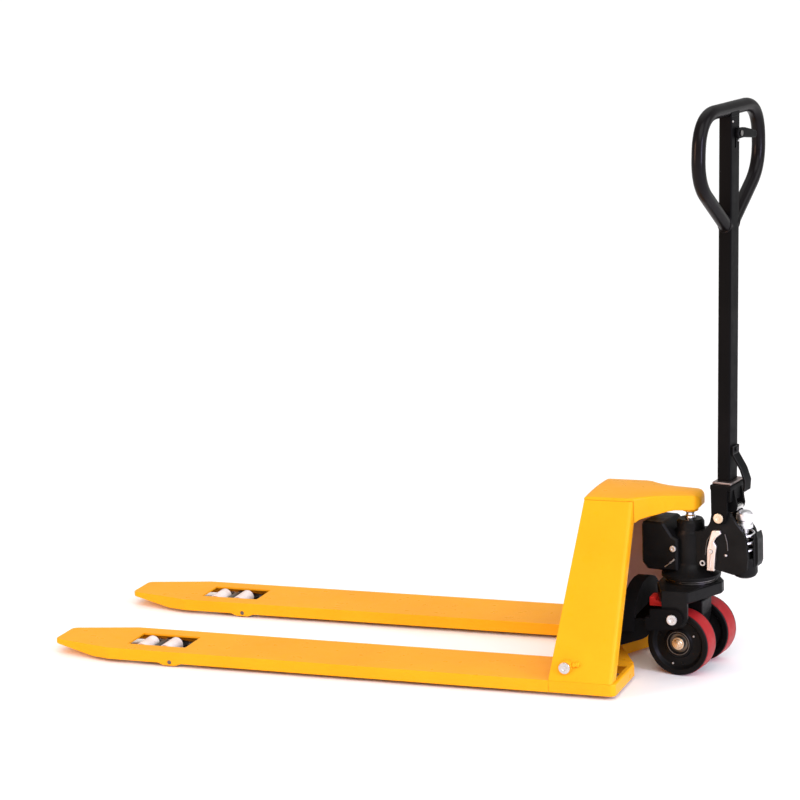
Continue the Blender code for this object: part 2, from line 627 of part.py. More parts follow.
def pump_body(build, black):
    """Pump casting: foot, cylinder, oil reservoir, two pivot ears, plunger barrel and spring guard."""
    foot = [(27, 194), (54, 194), (62, 197), (62, 203), (47, 211), (38, 222), (34, 230), (34, 286), (30, 293),
            (29, 298), (29, 312), (25, 318), (12, 318), (12, 245), (0, 245), (0, 199), (27, 199)]
    core = turned(foot, "Z", (0, 0), 28)
    tank_side = fillet([(-92, 226), (-80, 212), (-12, 212), (-12, 280), (-24, 286), (-44, 314), (-92, 314)],
                       [8, 6, 0, 0, 6, 8, 8], 2)
    tank = prism(tank_side, "Y", -45, 45, 4, 1)
    bridge = prism(fillet([(20, 224), (104, 224), (104, 262), (96, 296), (70, 306), (20, 296)],
                          [0, 8, 8, 10, 10, 0], 3), "Y", -25, 25)
    extras = [bridge]
    pivot_x, pivot_z = TILLER_PIVOT
    for sign in (-1, 1):
        low, high = sorted((sign * 24, sign * 34))
        ear = fillet([(40, 228), (108, 214), (136, 222), (139, 250), (133, 300), (114, 322), (98, 346),
                      (pivot_x, 352), (62, 346), (57, 320), (40, 296)],
                     [8, 10, 12, 10, 30, 20, 14, 16, 14, 20, 12], 2)
        extras.append(prism(ear, "Y", low, high))
    barrel = turned([(0, 203), (14, 203), (22, 207), (26, 214), (26, 243), (24, 246), (15, 246), (15, 262),
                     (9.6, 262), (9.6, 211), (0, 211)], "Z", (PLUNGER_X, 0), 20)
    guard = prism(fillet([(138, 226), (146, 226), (150.5, 238), (150.5, 286), (147, 300), (145.2, 300),
                          (145, 244), (138, 240)], [0, 8, 12, 14, 0.8, 0.8, 6, 0], 4), "Y", -6, 24)
    extras += [barrel, guard]
    spring_room = rod("Z", (PLUNGER_X, 0), 24.3, 246.2, 360, 20)
    neck_bore = rod("Z", (0, 0), 12, 245, 330, 20)
    pivot_bore = rod("Y", TILLER_PIVOT, 7.3, -40, 40, 20)
    lever_bore = rod("Y", RELEASE_PIVOT, 4.3, -38, -20, 16)
    neck = turned([(9.6, 240), (15, 240), (15, 262), (9.6, 262)], "Z", (PLUNGER_X, 0), 20)
    piece = build.add("pump_body", core, black, "steering", [tank] + extras,
                      [spring_room, neck_bore, pivot_bore, lever_bore])
    guide = build.place("pump_body_neck", neck, "steering", guide=True)
    step = piece.modifiers.new("neck", "BOOLEAN")
    step.operation = "UNION"
    step.solver = "EXACT"
    step.object = guide


def pump_fittings(build, steel, zinc):
    """Filler plug, valve pin, tiller pivot bolt and the pin of the release lever."""
    build.add("filler_plug", rod("Y", (-20.5, 261), 7.5, -49.5, -45.3, 6, 0.8), zinc, "steering")
    ring = turned([(3.2, -38.3), (6.2, -38.3), (6.2, -34.3), (3.2, -34.3)], "Y", (41, 234), 20)
    build.add("valve_ring", ring, steel, "steering")
    bolt = rod("Y", TILLER_PIVOT, 7.0, -43.5, 43.5, 20)
    heads = [rod("Y", TILLER_PIVOT, 10.5, -47.5, -42.4, 20, 1.2),
             rod("Y", TILLER_PIVOT, 10.5, 42.4, 47.5, 20, 1.2)]
    build.add("pivot_bolt", bolt, steel, "steering", heads)
    build.add("release_pin", rod("Y", RELEASE_PIVOT, 4.0, -45, -24, 16), steel, "steering")


def release_lever(build, zinc):
    """Cast lever on the pump's near face that the pull rod works to lower the forks."""
    x, z = RELEASE_PIVOT
    outline = fillet([(x - 10, z - 42), (x + 6, z - 42), (x + 9, z - 6), (x + 12, z + 10), (x + 4, z + 24),
                      (x + 22, z + 38), (x + 20, z + 46), (x + 2, z + 44), (x - 4, z + 22), (x - 9, z + 4)],
                     [2, 2, 8, 4, 6, 2, 3, 6, 6, 8], 3)
    build.add("release_lever", prism(outline, "Y", -42.5, -34.6, 1.2, 1), zinc, "release",
              (), [rod("Y", RELEASE_PIVOT, 4.3, -50, -30, 16)])


def plunger(build, steel, chrome):
    build.add("plunger", rod("Z", (PLUNGER_X, 0), 9.0, 252, 312, 24), steel, "plunger")
    cap = [(9.3, 307.7), (CAP_RADIUS, 307.7), (CAP_RADIUS, 316), (CAP_RADIUS - 2, 318), (CAP_RADIUS - 2, 324),
           (CAP_RADIUS, 326), (CAP_RADIUS, 338), (CAP_RADIUS - 5, 343.6), (0, 343.6), (0, 312.3), (9.3, 312.3)]
    build.add("plunger_cap", turned(cap, "Z", (PLUNGER_X, 0), 24), chrome, "plunger")


def plunger_spring(build, steel):
    """Coil spring between the barrel and the plunger cap."""
    low = SPRING_SPAN[0] + SPRING_WIRE
    high = SPRING_SPAN[1] - SPRING_WIRE
    count = SPRING_TURNS * 12
    path = []
    for i in range(count + 1):
        turn = math.tau * SPRING_TURNS * i / count
        path.append((PLUNGER_X + (SPRING_RADIUS - 1.2) * math.cos(turn), (SPRING_RADIUS - 1.2) * math.sin(turn),
                     low + (high - low) * i / count))
    build.add("plunger_spring", sweep(path, SPRING_WIRE, 6), steel, "plunger")


# ---------------------------------------------------------------- tiller

def tiller_point(u, v):
    """Point given from the tiller pivot."""
    return (TILLER_PIVOT[0] + u, TILLER_PIVOT[1] + v)


def yoke(build, black):
    """Forked foot of the tiller: a top plate, two outer cheeks and two inner plates for the press roller."""
    top = box((60, -42, 392), (106, 42, 402), 2)
    extras = []
    for sign in (-1, 1):
        low, high = sorted((sign * 35.0, sign * 42.0))
        cheek = fillet([(62, 398), tiller_point(-17, 8), tiller_point(-13, -15), tiller_point(13, -15),
                        tiller_point(17, 8), (98, 398)], [0, 14, 13, 13, 14, 0], 2)
        extras.append(prism(cheek, "Y", low, high))
        low, high = sorted((sign * 17.5, sign * 23.0))
        inner = fillet([(66, 398), tiller_point(-12, -4), tiller_point(-6, -12), tiller_point(18, 10),
                        tiller_point(30, 12), tiller_point(32, 24), (104, 398)], [0, 10, 10, 8, 7, 7, 0], 2)
        extras.append(prism(inner, "Y", low, high))
    web = box((88, -38, 368), (104, 38, 394), 1)
    roller_pin = rod("Y", tiller_point(*PRESS_ROLLER), 3.5, -20, 20, 16)
    bore = rod("Y", TILLER_PIVOT, 7.4, -50, 50, 20)
    rod_room = rod("Z", (MAST_X, 0), 4, 384, 410, 12)
    build.add("tiller_yoke", top, black, "tiller", extras + [web, roller_pin], [bore, rod_room])


def press_roller(build, steel):
    profile = [(3.9, -16), (7.0, -16), (7.0, 16), (3.9, 16)]
    build.add("press_roller", turned(profile, "Y", tiller_point(*PRESS_ROLLER), 24), steel, "roller")


def mast(build, black, steel):
    half_x, half_y = MAST_SIZE[0] / 2, MAST_SIZE[1] / 2
    outline = fillet([(MAST_X - half_x, -half_y), (MAST_X + half_x, -half_y), (MAST_X + half_x, half_y),
                      (MAST_X - half_x, half_y)], 3, 3)
    tube = prism(outline, "Z", MAST_BOTTOM + SKIN_GAP, MAST_TOP - 3)
    bore = box((MAST_X - half_x + 2.5, -half_y + 2.5, MAST_BOTTOM - 5),
               (MAST_X + half_x - 2.5, half_y - 2.5, 1144))
    slot = box((MAST_X + 5, -4, LEVER_Z - 30), (MAST_X + 20, 4, LEVER_Z + 4))
    build.add("mast", tube, black, "tiller", (), [bore, slot])
    flange = box((62, -33, 402.3), (103, 33, MAST_BOTTOM), 1)
    hole = rod("Z", (MAST_X, 0), 9, 398, 412, 20)
    build.add("mast_flange", flange, steel, "tiller", (), [hole])


def bend(start, corner, stop, steps):
    """Points of a soft bend from start to stop that leans toward the corner."""
    a, b, c = Vector(start), Vector(corner), Vector(stop)
    return [tuple(a.lerp(b, i / steps).lerp(b.lerp(c, i / steps), i / steps)) for i in range(steps + 1)]


def loop_handle(build, black):
    """Round bar bent to a rounded triangle; both ends butt against the mast."""
    right = [(0, LOOP_TOP)] + bend((76, LOOP_TOP), (157, LOOP_TOP), (157.6, 1087), 8)
    right += bend((157.7, 1080), (158, 1033), (119, 1005.5), 6) + [(MAST_SIZE[1] / 2 - 2, 936.4)]
    left = [(-y, z) for y, z in right[:0:-1]]
    path = [(MAST_X, y, z) for y, z in left + right]
    half_x, half_y = MAST_SIZE[0] / 2 + SKIN_GAP, MAST_SIZE[1] / 2 + SKIN_GAP
    room = box((MAST_X - half_x, -half_y, 860), (MAST_X + half_x, half_y, MAST_TOP - 3 + SKIN_GAP))
    build.add("loop_handle", sweep(path, LOOP_TUBE, 10), black, "tiller", (), [room])


def lever_set(build, black, steel, zinc):
    """Three-position control lever on the front of the mast and its pull rod inside the mast."""
    front = MAST_X + MAST_SIZE[0] / 2
    outline = fillet([(-9, LEVER_Z - 11), (24, LEVER_Z - 11), (85, LEVER_Z - 18), (93, LEVER_Z - 12),
                      (88, LEVER_Z - 3), (28, LEVER_Z + 9), (-9, LEVER_Z + 11)], [8, 10, 5, 4, 4, 12, 8], 3)
    blade = prism(outline, "X", front + 1.5, front + 9.5, 1.5, 1)
    build.add("control_lever", blade, black, "lever", (), [rod("X", (4, LEVER_Z), 3.4, front - 5, front + 20, 16)])
    head = rod("X", (4, LEVER_Z), 6.0, front + 9.9, front + 13, 16, 0.8)
    build.add("lever_screw", head, steel, "tiller", [rod("X", (4, LEVER_Z), 3.0, front + 0.3, front + 11, 16)])
    build.add("pull_rod", rod("Z", (MAST_X, 0), 2.5, 396, LEVER_Z - 34, 12), zinc, "pull")


def rod_guide(build, black):
    """Bent strap from the mast down to the yoke that guards the pull rod's lower end."""
    centre = [(98.5, 480), (98.5, 463), (117, 433), (125.5, 409), (124, 388)]
    outline = []
    inner = []
    for i, point in enumerate(centre):
        before = Vector(centre[max(i - 1, 0)])
        after = Vector(centre[min(i + 1, len(centre) - 1)])
        along = (after - before).normalized()
        normal = Vector((-along.y, along.x)) * 2.4
        outline.append((point[0] + normal.x, point[1] + normal.y))
        inner.append((point[0] - normal.x, point[1] - normal.y))
    strap = prism(outline + inner[::-1], "Y", -16, 16)
    build.add("rod_guide", strap, black, "tiller")
    build.add("guide_rivet", rod("X", (0, 472), 5, 101.3, 104.3, 16, 0.8), black, "tiller")


def main():
    clear_scene()
    yellow = material("yellow paint", (0.93, 0.50, 0.05), 0.35)
    black = material("black paint", (0.02, 0.02, 0.02), 0.4)
    red = material("red polyurethane", (0.55, 0.03, 0.05), 0.5)
    steel = material("bright steel", (0.62, 0.60, 0.58), 0.32, 1.0)
    chrome = material("chrome", (0.80, 0.80, 0.82), 0.12, 1.0)
    zinc = material("cast zinc", (0.70, 0.62, 0.50), 0.5, 0.8)
    brass = material("yellow zinc plate", (0.72, 0.55, 0.28), 0.35, 1.0)
    nylon = material("white nylon", (0.82, 0.78, 0.74), 0.45)

    build = Assembly()
    build.group("truck", None, (0, 0, 0))
    build.empties["truck"].location = (STEER_X * MM, 0, 0)
    build.group("rocker", "truck", (PIVOT[0], 0, PIVOT[1]))
    build.group("base", "truck", (0, 0, BASE_TOP))
    build.group("steering", "truck", (0, 0, 0), STEER_REST)
    for name, sign, y in sides():
        build.group(f"rod_{name}", "truck", (PIVOT[0], y, ROD_Z))
        build.group(f"bracket_{name}", "truck", (BRACKET_PIVOT[0], y, BRACKET_PIVOT[1]))
        build.group(f"bogie_{name}", f"bracket_{name}", (BOGIE_PIVOT[0], y, BOGIE_PIVOT[1]))
        build.group(f"wheel_{name}", "steering", (0, sign * WHEEL_Y, WHEEL_RADIUS))
    build.group("tiller", "steering", (TILLER_PIVOT[0], 0, TILLER_PIVOT[1]), lean=TILLER_LEAN)
    build.group("plunger", "steering", (PLUNGER_X, 0, SPRING_SPAN[1]))
    build.group("release", "steering", (RELEASE_PIVOT[0], -38, RELEASE_PIVOT[1]))
    roller_x, roller_z = tiller_point(*PRESS_ROLLER)
    build.group("roller", "tiller", (roller_x, 0, roller_z))
    build.group("lever", "tiller", (MAST_X + MAST_SIZE[0] / 2 + 5, 4, LEVER_Z))
    build.group("pull", "tiller", (MAST_X, 0, MAST_BOTTOM))

    for name, sign, y in sides():
        fork(build, yellow, name, sign, y)
        heel(build, yellow, name, sign, y)
        side_plate(build, yellow, name, sign)
    front_panel(build, yellow)
    floor_plate(build, yellow)
    head_cover(build, yellow)
    head_seat(build, yellow)
    piston_rod(build, chrome)
    frame_pins(build, steel)
    rocker_arm(build, black)
    base_pins(build, steel)
    for name, sign, y in sides():
        push_rod(build, black, name, y)
        roller_bracket(build, steel, name, y)
        roller_bogie(build, steel, name, y)
        for place, reach in (("front", -ROLLER_PITCH), ("rear", ROLLER_PITCH)):
            axle = (BOGIE_PIVOT[0] + reach, BOGIE_PIVOT[1])
            group = f"{place}_roller_{name}"
            build.group(group, f"bogie_{name}", (axle[0], y, axle[1]))
            load_roller(build, nylon, f"load_roller_{place}_{name}", axle, y, group)
    base_bracket(build, black)
    thrust_bearing(build, steel)
    buffer_block(build, red)
    axle_bracket(build, black)
    wheel_axle(build, steel)
    axle_nuts(build, brass)
    for name, sign, y in sides():
        steer_wheel(build, black, red, steel, name, sign)
    pump_body(build, black)
    pump_fittings(build, steel, zinc)
    release_lever(build, zinc)
    plunger(build, steel, chrome)
    plunger_spring(build, steel)
    yoke(build, black)
    press_roller(build, steel)
    mast(build, black, steel)
    loop_handle(build, black)
    lever_set(build, black, steel, zinc)
    rod_guide(build, black)


main()
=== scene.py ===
"""Looks of the hand pallet truck: materials, finer pieces, floor, lights and camera around the CAD frame.

Shapes are written in millimetres from the steering axis: in the truck's frame, in the turned steering
frame, or in the tiller's frame, which turns with the steering and leans.
"""
import json
import math

import bmesh
import bpy
from mathutils import Matrix, Vector


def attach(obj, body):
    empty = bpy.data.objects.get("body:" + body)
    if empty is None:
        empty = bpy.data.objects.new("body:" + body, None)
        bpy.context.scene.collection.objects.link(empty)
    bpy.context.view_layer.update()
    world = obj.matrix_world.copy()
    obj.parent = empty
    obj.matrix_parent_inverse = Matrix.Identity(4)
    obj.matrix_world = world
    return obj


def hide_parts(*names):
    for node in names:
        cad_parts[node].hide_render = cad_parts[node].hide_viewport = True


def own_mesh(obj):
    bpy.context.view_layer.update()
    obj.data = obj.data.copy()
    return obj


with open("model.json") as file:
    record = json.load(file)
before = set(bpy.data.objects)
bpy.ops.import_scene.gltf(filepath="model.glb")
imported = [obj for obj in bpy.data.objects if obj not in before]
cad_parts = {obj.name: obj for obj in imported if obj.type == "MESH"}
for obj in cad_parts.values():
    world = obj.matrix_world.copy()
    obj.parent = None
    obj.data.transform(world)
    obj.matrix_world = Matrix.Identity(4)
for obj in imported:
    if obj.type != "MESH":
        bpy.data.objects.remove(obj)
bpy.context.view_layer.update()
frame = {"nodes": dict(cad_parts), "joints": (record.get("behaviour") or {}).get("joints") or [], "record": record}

JOINTS = {joint["name"]: joint for joint in frame["joints"]}
NODE_BODY = {node: body for body, nodes in frame["record"]["behaviour"]["bodies"].items() for node in nodes}
NODE_SLOT = {row["node"]: row["material_slot"] for row in frame["record"]["subparts"]}

MM = 0.001
SIDES = (("left", -1), ("right", 1))
STEER_POS = Vector(JOINTS["steer"]["pos_m"])
WHEEL_AXIS = Vector(JOINTS["wheel_left_spin"]["axis"])
TRUCK = Matrix.Translation((STEER_POS.x, 0, 0)) @ Matrix.Scale(MM, 4)
STEERING = (Matrix.Translation((STEER_POS.x, 0, 0))
            @ Matrix.Rotation(math.atan2(-WHEEL_AXIS.x, WHEEL_AXIS.y), 4, "Z") @ Matrix.Scale(MM, 4))
LEAN = 1.1     # degrees, the tiller's lean at rest
TILLER_PIVOT = (80.5, 334.0)
TILLER = (STEERING @ Matrix.Translation((TILLER_PIVOT[0], 0, TILLER_PIVOT[1]))
          @ Matrix.Rotation(math.radians(LEAN), 4, "Y")
          @ Matrix.Translation((-TILLER_PIVOT[0], 0, -TILLER_PIVOT[1])))

# places and sizes that several pieces share
WHEEL_Y, WHEEL_Z = 55.0, 67.5
FORK_Y = 195.0
FORK_TOP = 33.0
ROLLER_Z = 16.5
PLUNGER_X = 120.0
MAST_X = 81.5
MAST_REAR = MAST_X + 13.8
PIVOT_PIN = (-198, 60)
BASE_PIN = (-13, 130)

# angles in degrees and tolerances in metres for the rounding of edges
SHARP_EDGE, ROUNDED_EDGE, SMOOTH_SHADE = 30.0, 32.0, 35.0
SAME_PLANE, SAME_POINT = 0.4, 2e-5


# ---------------------------------------------------------------- materials

MIX_COLOURS, MIX_RESULT = (6, 7), 2     # sockets of a Mix node in colour mode


class Surface:
    """One procedural material: tone, roughness and bump from noise in object coordinates."""

    def __init__(self, name, **fixed):
        self.mat = bpy.data.materials.new(name)
        self.mat.use_nodes = True
        self.tree = self.mat.node_tree
        self.shader = self.tree.nodes["Principled BSDF"]
        for socket, value in fixed.items():
            self.shader.inputs[socket.replace("_", " ")].default_value = value
        self.coords = self.tree.nodes.new("ShaderNodeTexCoord").outputs["Object"]
        self.bump = None

    def link(self, a, b):
        self.tree.links.new(a, b)

    def noise(self, scale, detail=4.0, rough=0.55, stretch=None):
        source = self.coords
        if stretch:
            mapping = self.tree.nodes.new("ShaderNodeMapping")
            mapping.inputs["Scale"].default_value = stretch
            self.link(source, mapping.inputs["Vector"])
            source = mapping.outputs["Vector"]
        node = self.tree.nodes.new("ShaderNodeTexNoise")
        node.inputs["Scale"].default_value = scale
        node.inputs["Detail"].default_value = detail
        node.inputs["Roughness"].default_value = rough
        self.link(source, node.inputs["Vector"])
        return node.outputs["Fac"]

    def ramp(self, source, stops):
        node = self.tree.nodes.new("ShaderNodeValToRGB")
        marks = node.color_ramp.elements
        while len(marks) < len(stops):
            marks.new(0.5)
        for mark, (place, colour) in zip(marks, stops):
            mark.position = place
            mark.color = (*colour, 1.0)
        self.link(source, node.inputs["Fac"])
        return node.outputs["Color"]

    def span(self, source, low, high, start=0.3, stop=0.7):
        node = self.tree.nodes.new("ShaderNodeMapRange")
        for socket, value in (("From Min", start), ("From Max", stop), ("To Min", low), ("To Max", high)):
            node.inputs[socket].default_value = value
        self.link(source, node.inputs["Value"])
        return node.outputs["Result"]

    def mixed(self, mask, a, b):
        node = self.tree.nodes.new("ShaderNodeMix")
        node.data_type = "RGBA"
        self.link(mask, node.inputs["Factor"])
        for value, index in zip((a, b), MIX_COLOURS):
            socket = node.inputs[index]
            if isinstance(value, tuple):
                socket.default_value = (*value, 1.0)
            else:
                self.link(value, socket)
        return node.outputs[MIX_RESULT]

    def add_bump(self, height, strength, distance):
        node = self.tree.nodes.new("ShaderNodeBump")
        node.inputs["Strength"].default_value = strength
        node.inputs["Distance"].default_value = distance
        self.link(height, node.inputs["Height"])
        if self.bump:
            self.link(self.bump, node.inputs["Normal"])
        self.bump = node.outputs["Normal"]

    def done(self, colour, roughness):
        self.link(colour, self.shader.inputs["Base Color"])
        self.link(roughness, self.shader.inputs["Roughness"])
        if self.bump:
            self.link(self.bump, self.shader.inputs["Normal"])
        return self.mat


def paint(name, dark, mid, light, chip=None, chips=0.0, rough=(0.26, 0.36), coat=0.25, gloss=0.35):
    """Paint or another coating with faint orange peel; chips above 0 adds chips in the chip colour."""
    s = Surface(name, Coat_Weight=coat, Coat_Roughness=0.16, Specular_IOR_Level=gloss)
    tone = s.ramp(s.noise(5.0, 5.0), [(0.3, dark), (0.5, mid), (0.72, light)])
    colour = s.mixed(s.span(s.noise(120.0, 6.0), 0.0, 0.3, 0.42, 0.75), tone, dark)
    s.add_bump(s.noise(420.0, 2.0), 0.08, 0.0004)
    s.add_bump(s.noise(60.0, 2.0), 0.04, 0.0008)
    roughness = s.span(s.noise(38.0, 6.0), *rough)
    if chips:
        mask = s.span(s.noise(150.0, 6.0, 0.7), 0.0, 1.0, 0.72 - chips, 0.74 - chips)
        colour = s.mixed(mask, colour, chip)
        s.add_bump(mask, -0.25, 0.0003)
    return s.done(colour, roughness)


def cast_paint(name, dark, light, grain=0.35):
    """Black paint over a sand casting: the grain shows through."""
    s = Surface(name, Coat_Weight=0.02, Coat_Roughness=0.25, Specular_IOR_Level=0.09)
    colour = s.ramp(s.noise(22.0, 6.0), [(0.32, dark), (0.7, light)])
    s.add_bump(s.noise(520.0, 5.0, 0.6), grain, 0.0006)
    s.add_bump(s.noise(90.0, 3.0), 0.18, 0.0012)
    return s.done(colour, s.span(s.noise(55.0, 5.0), 0.3, 0.5))


def metal(name, dark, light, rough=(0.22, 0.38), stretch=(1, 1, 1), scale=160.0, grain=0.08):
    """Bare or plated metal; stretch thins the grain along one axis, like turning marks."""
    s = Surface(name, Metallic=1.0)
    colour = s.ramp(s.noise(30.0, 6.0), [(0.3, dark), (0.7, light)])
    s.add_bump(s.noise(scale, 6.0, 0.7, stretch), grain, 0.0003)
    return s.done(colour, s.span(s.noise(scale, 5.0, 0.6, stretch), *rough))


def moulded(name, dark, light, rough=(0.38, 0.55), spot=None, gloss=0.5):
    """Moulded polyurethane or nylon with faint flow marks and dust."""
    s = Surface(name, Subsurface_Weight=0.06, Subsurface_Radius=(0.004, 0.002, 0.002), Subsurface_Scale=0.5,
                Specular_IOR_Level=gloss)
    colour = s.ramp(s.noise(26.0, 5.0), [(0.3, dark), (0.7, light)])
    if spot:
        colour = s.mixed(s.span(s.noise(70.0, 7.0, 0.7), 0.0, 0.55, 0.56, 0.74), colour, spot)
    s.add_bump(s.noise(300.0, 4.0), 0.12, 0.0004)
    return s.done(colour, s.span(s.noise(80.0, 5.0), *rough))


YELLOWS = ((0.80, 0.345, 0.008), (0.85, 0.368, 0.010), (0.88, 0.392, 0.012))
BLACKS = ((0.003, 0.003, 0.003), (0.004, 0.004, 0.004), (0.006, 0.0055, 0.0055))
YELLOW = paint("yellow_paint", *YELLOWS, coat=0.03, gloss=0.06)
YELLOW_EDGE = paint("yellow_paint_edge", *YELLOWS, (0.42, 0.20, 0.05), 0.004, coat=0.12, gloss=0.2)
BLACK = paint("black_paint", *BLACKS, rough=(0.38, 0.52), coat=0.0, gloss=0.035)
BLACK_EDGE = paint("black_paint_edge", *BLACKS, (0.12, 0.11, 0.10), 0.03, (0.30, 0.42), 0.08, 0.3)
MATTE = paint("matte_black", (0.0025, 0.0024, 0.0024), (0.0035, 0.0032, 0.0032), (0.005, 0.0045, 0.0045),
              rough=(0.66, 0.82), coat=0.0, gloss=0.06)
# painted shade: a dull mauve for faces in shade inside the upright, put on the side plates' inner faces and the
# front panel's rear
PAINTED_SHADE_MAUVE = paint("painted_shade_mauve", (0.62, 0.42, 0.44), (0.70, 0.49, 0.51), (0.76, 0.54, 0.56),
               rough=(0.5, 0.65), coat=0.0, gloss=0.3)
# painted shade: near-black brown for the shaded insides of the hollow forks and heels
PAINTED_SHADE_INSIDE = paint("painted_shade_inside", (0.010, 0.006, 0.004), (0.022, 0.012, 0.007), (0.060, 0.024, 0.010),
               rough=(0.35, 0.6), coat=0.0, gloss=0.25)
BUFFER_RED = paint("buffer_red", (0.50, 0.008, 0.006), (0.62, 0.012, 0.008), (0.70, 0.018, 0.010),
                   rough=(0.4, 0.55), coat=0.0, gloss=0.35)
CAST = cast_paint("cast_black", (0.0032, 0.0032, 0.0032), (0.008, 0.0078, 0.0076))
HUB = cast_paint("hub_black", (0.0025, 0.0025, 0.0026), (0.006, 0.0056, 0.0056), 0.22)
RED = moulded("red_polyurethane", (0.28, 0.010, 0.012), (0.36, 0.016, 0.018), (0.34, 0.48),
              (0.42, 0.04, 0.04), 0.15)
NYLON = moulded("white_nylon", (0.66, 0.55, 0.50), (0.82, 0.74, 0.70), (0.35, 0.55), (0.42, 0.30, 0.26))
STEEL = metal("bright_steel", (0.52, 0.51, 0.50), (0.70, 0.69, 0.67))
TURNED = metal("turned_steel", (0.52, 0.51, 0.50), (0.72, 0.71, 0.69), (0.18, 0.32), (1, 40, 1), 60.0, 0.05)
CHROME = metal("chrome", (0.74, 0.74, 0.76), (0.86, 0.86, 0.88), (0.06, 0.16), (1, 1, 12), 120.0, 0.02)
DARK_STEEL = metal("oiled_steel", (0.10, 0.095, 0.09), (0.20, 0.19, 0.18), (0.25, 0.42))
FLANGE_STEEL = metal("worn_flange", (0.16, 0.12, 0.11), (0.40, 0.33, 0.31), (0.30, 0.50))
GRIP = paint("grip_black", (0.003, 0.0025, 0.0025), (0.0045, 0.0035, 0.0038), (0.006, 0.005, 0.0055),
             rough=(0.28, 0.38), coat=0.10, gloss=0.06)
CAP_STEEL = metal("bright_cap", (0.72, 0.71, 0.72), (0.92, 0.91, 0.93), (0.30, 0.46))
ZINC = metal("cast_zinc", (0.72, 0.63, 0.56), (0.86, 0.79, 0.73), (0.34, 0.52), (1, 1, 1), 320.0, 0.2)
BRASS = metal("yellow_zinc", (0.62, 0.46, 0.30), (0.82, 0.70, 0.54), (0.22, 0.40))

# for each slot of the record, the look of its faces and then of its rounded edges
SLOT_LOOKS = {
    "yellow_paint": (YELLOW, YELLOW_EDGE), "black_paint": (BLACK, BLACK_EDGE), "cast_black": (CAST, CAST),
    "red_polyurethane": (RED, RED), "steel": (STEEL, STEEL), "chrome": (CHROME, CHROME),
    "cast_zinc": (ZINC, ZINC), "zinc_yellow": (BRASS, BRASS), "nylon": (NYLON, NYLON),
}


# ---------------------------------------------------------------- placing

def settle(obj, node, extra=()):
    """Put a new piece on the body of the node it stands for."""
    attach(obj, NODE_BODY[node])
    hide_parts(node, *extra)
    return obj


def dress(obj, looks):
    """Give an object these materials, in this order."""
    obj.data.materials.clear()
    for look in looks:
        obj.data.materials.append(look)


def refine(node, width=0.8, segments=2, soft=None, inner=None, looks=None):
    """A finer copy of a CAD node with rounded edges: soft = (test, width), inner = (face test, look)."""
    mesh = frame["nodes"][node].data.copy()
    mesh.name = f"{node}_fine"
    bm = bmesh.new()
    bm.from_mesh(mesh)
    bmesh.ops.remove_doubles(bm, verts=bm.verts, dist=SAME_POINT)
    bmesh.ops.dissolve_limit(bm, angle_limit=math.radians(SAME_PLANE), verts=bm.verts, edges=bm.edges)
    widest = max(width, soft[1]) if soft else width
    weight = bm.edges.layers.float.new("bevel_weight_edge")
    for face in bm.faces:
        face.smooth = True
        face.material_index = 2 if inner and inner[0](face) else 0
    for edge in bm.edges:
        if len(edge.link_faces) == 2 and edge.calc_face_angle(0.0) > math.radians(SHARP_EDGE):
            chosen = soft and soft[0](edge.verts[0].co, edge.verts[1].co)
            edge[weight] = (soft[1] if chosen else width) / widest
    bm.to_mesh(mesh)
    bm.free()
    obj = bpy.data.objects.new(f"{node}_fine", mesh)
    bpy.context.scene.collection.objects.link(obj)
    dress(obj, (*(looks or SLOT_LOOKS[NODE_SLOT[node]]), *((inner[1],) if inner else ())))
    rounding = obj.modifiers.new("edges", "BEVEL")
    rounding.limit_method = "WEIGHT"
    rounding.width = widest * MM
    rounding.segments = segments
    rounding.material = 1
    rounding.use_clamp_overlap = True
    even_normals(obj)
    return settle(obj, node)


def even_normals(obj):
    """Large flat faces keep their own normal, so that only the rounded edges shade."""
    shade = obj.modifiers.new("normals", "WEIGHTED_NORMAL")
    shade.mode = "FACE_AREA"
    shade.keep_sharp = True


def made(name, bm, matrix, looks):
    """An object from a bmesh in millimetres."""
    bmesh.ops.recalc_face_normals(bm, faces=bm.faces)
    mesh = bpy.data.meshes.new(name)
    bm.to_mesh(mesh)
    bm.free()
    mesh.transform(matrix)
    mesh.shade_smooth()
    mesh.set_sharp_from_angle(angle=math.radians(SMOOTH_SHADE))
    obj = bpy.data.objects.new(name, mesh)
    bpy.context.scene.collection.objects.link(obj)
    dress(obj, looks if isinstance(looks, tuple) else (looks,))
    return obj


# ---------------------------------------------------------------- shapes

def axis_point(axis, u, v, w):
    """A point from outline coordinates u, v and a depth w along the axis."""
    return {"Y": (u, w, v), "X": (w, u, v), "Z": (u, v, w)}[axis]


def turned(bm, profile, axis, centre, steps=72):
    """Turn a closed (radius, depth) outline about an axis; parts on the axis close to a point."""
    rings = []
    for i in range(steps):
        a = math.tau * i / steps
        u, v = math.cos(a), math.sin(a)
        rings.append([bm.verts.new(axis_point(axis, centre[0] + r * u, centre[1] + r * v, d))
                      for r, d in profile])
    for i in range(steps):
        here, after = rings[i], rings[(i + 1) % steps]
        for j in range(len(profile)):
            k = (j + 1) % len(profile)
            if profile[j][0] > 0 or profile[k][0] > 0:
                bm.faces.new((here[j], here[k], after[k], after[j]))
    bmesh.ops.remove_doubles(bm, verts=bm.verts, dist=1e-4)


def rounded(points, radii, steps=6):
    """Closed outline with an arc at each corner; one radius per corner, 0 keeps it sharp."""
    outline = []
    count = len(points)
    for i, (corner, radius) in enumerate(zip(points, radii)):
        here = Vector(corner)
        a = Vector(points[i - 1]) - here
        b = Vector(points[(i + 1) % count]) - here
        if radius <= 0:
            outline.append(tuple(here))
            continue
        half = a.angle(b) / 2
        reach = min(radius / math.tan(half), a.length * 0.48, b.length * 0.48)
        start, stop = here + a.normalized() * reach, here + b.normalized() * reach
        for step in range(steps + 1):
            t = step / steps
            outline.append(tuple(start.lerp(here, t).lerp(here.lerp(stop, t), t)))
    return outline


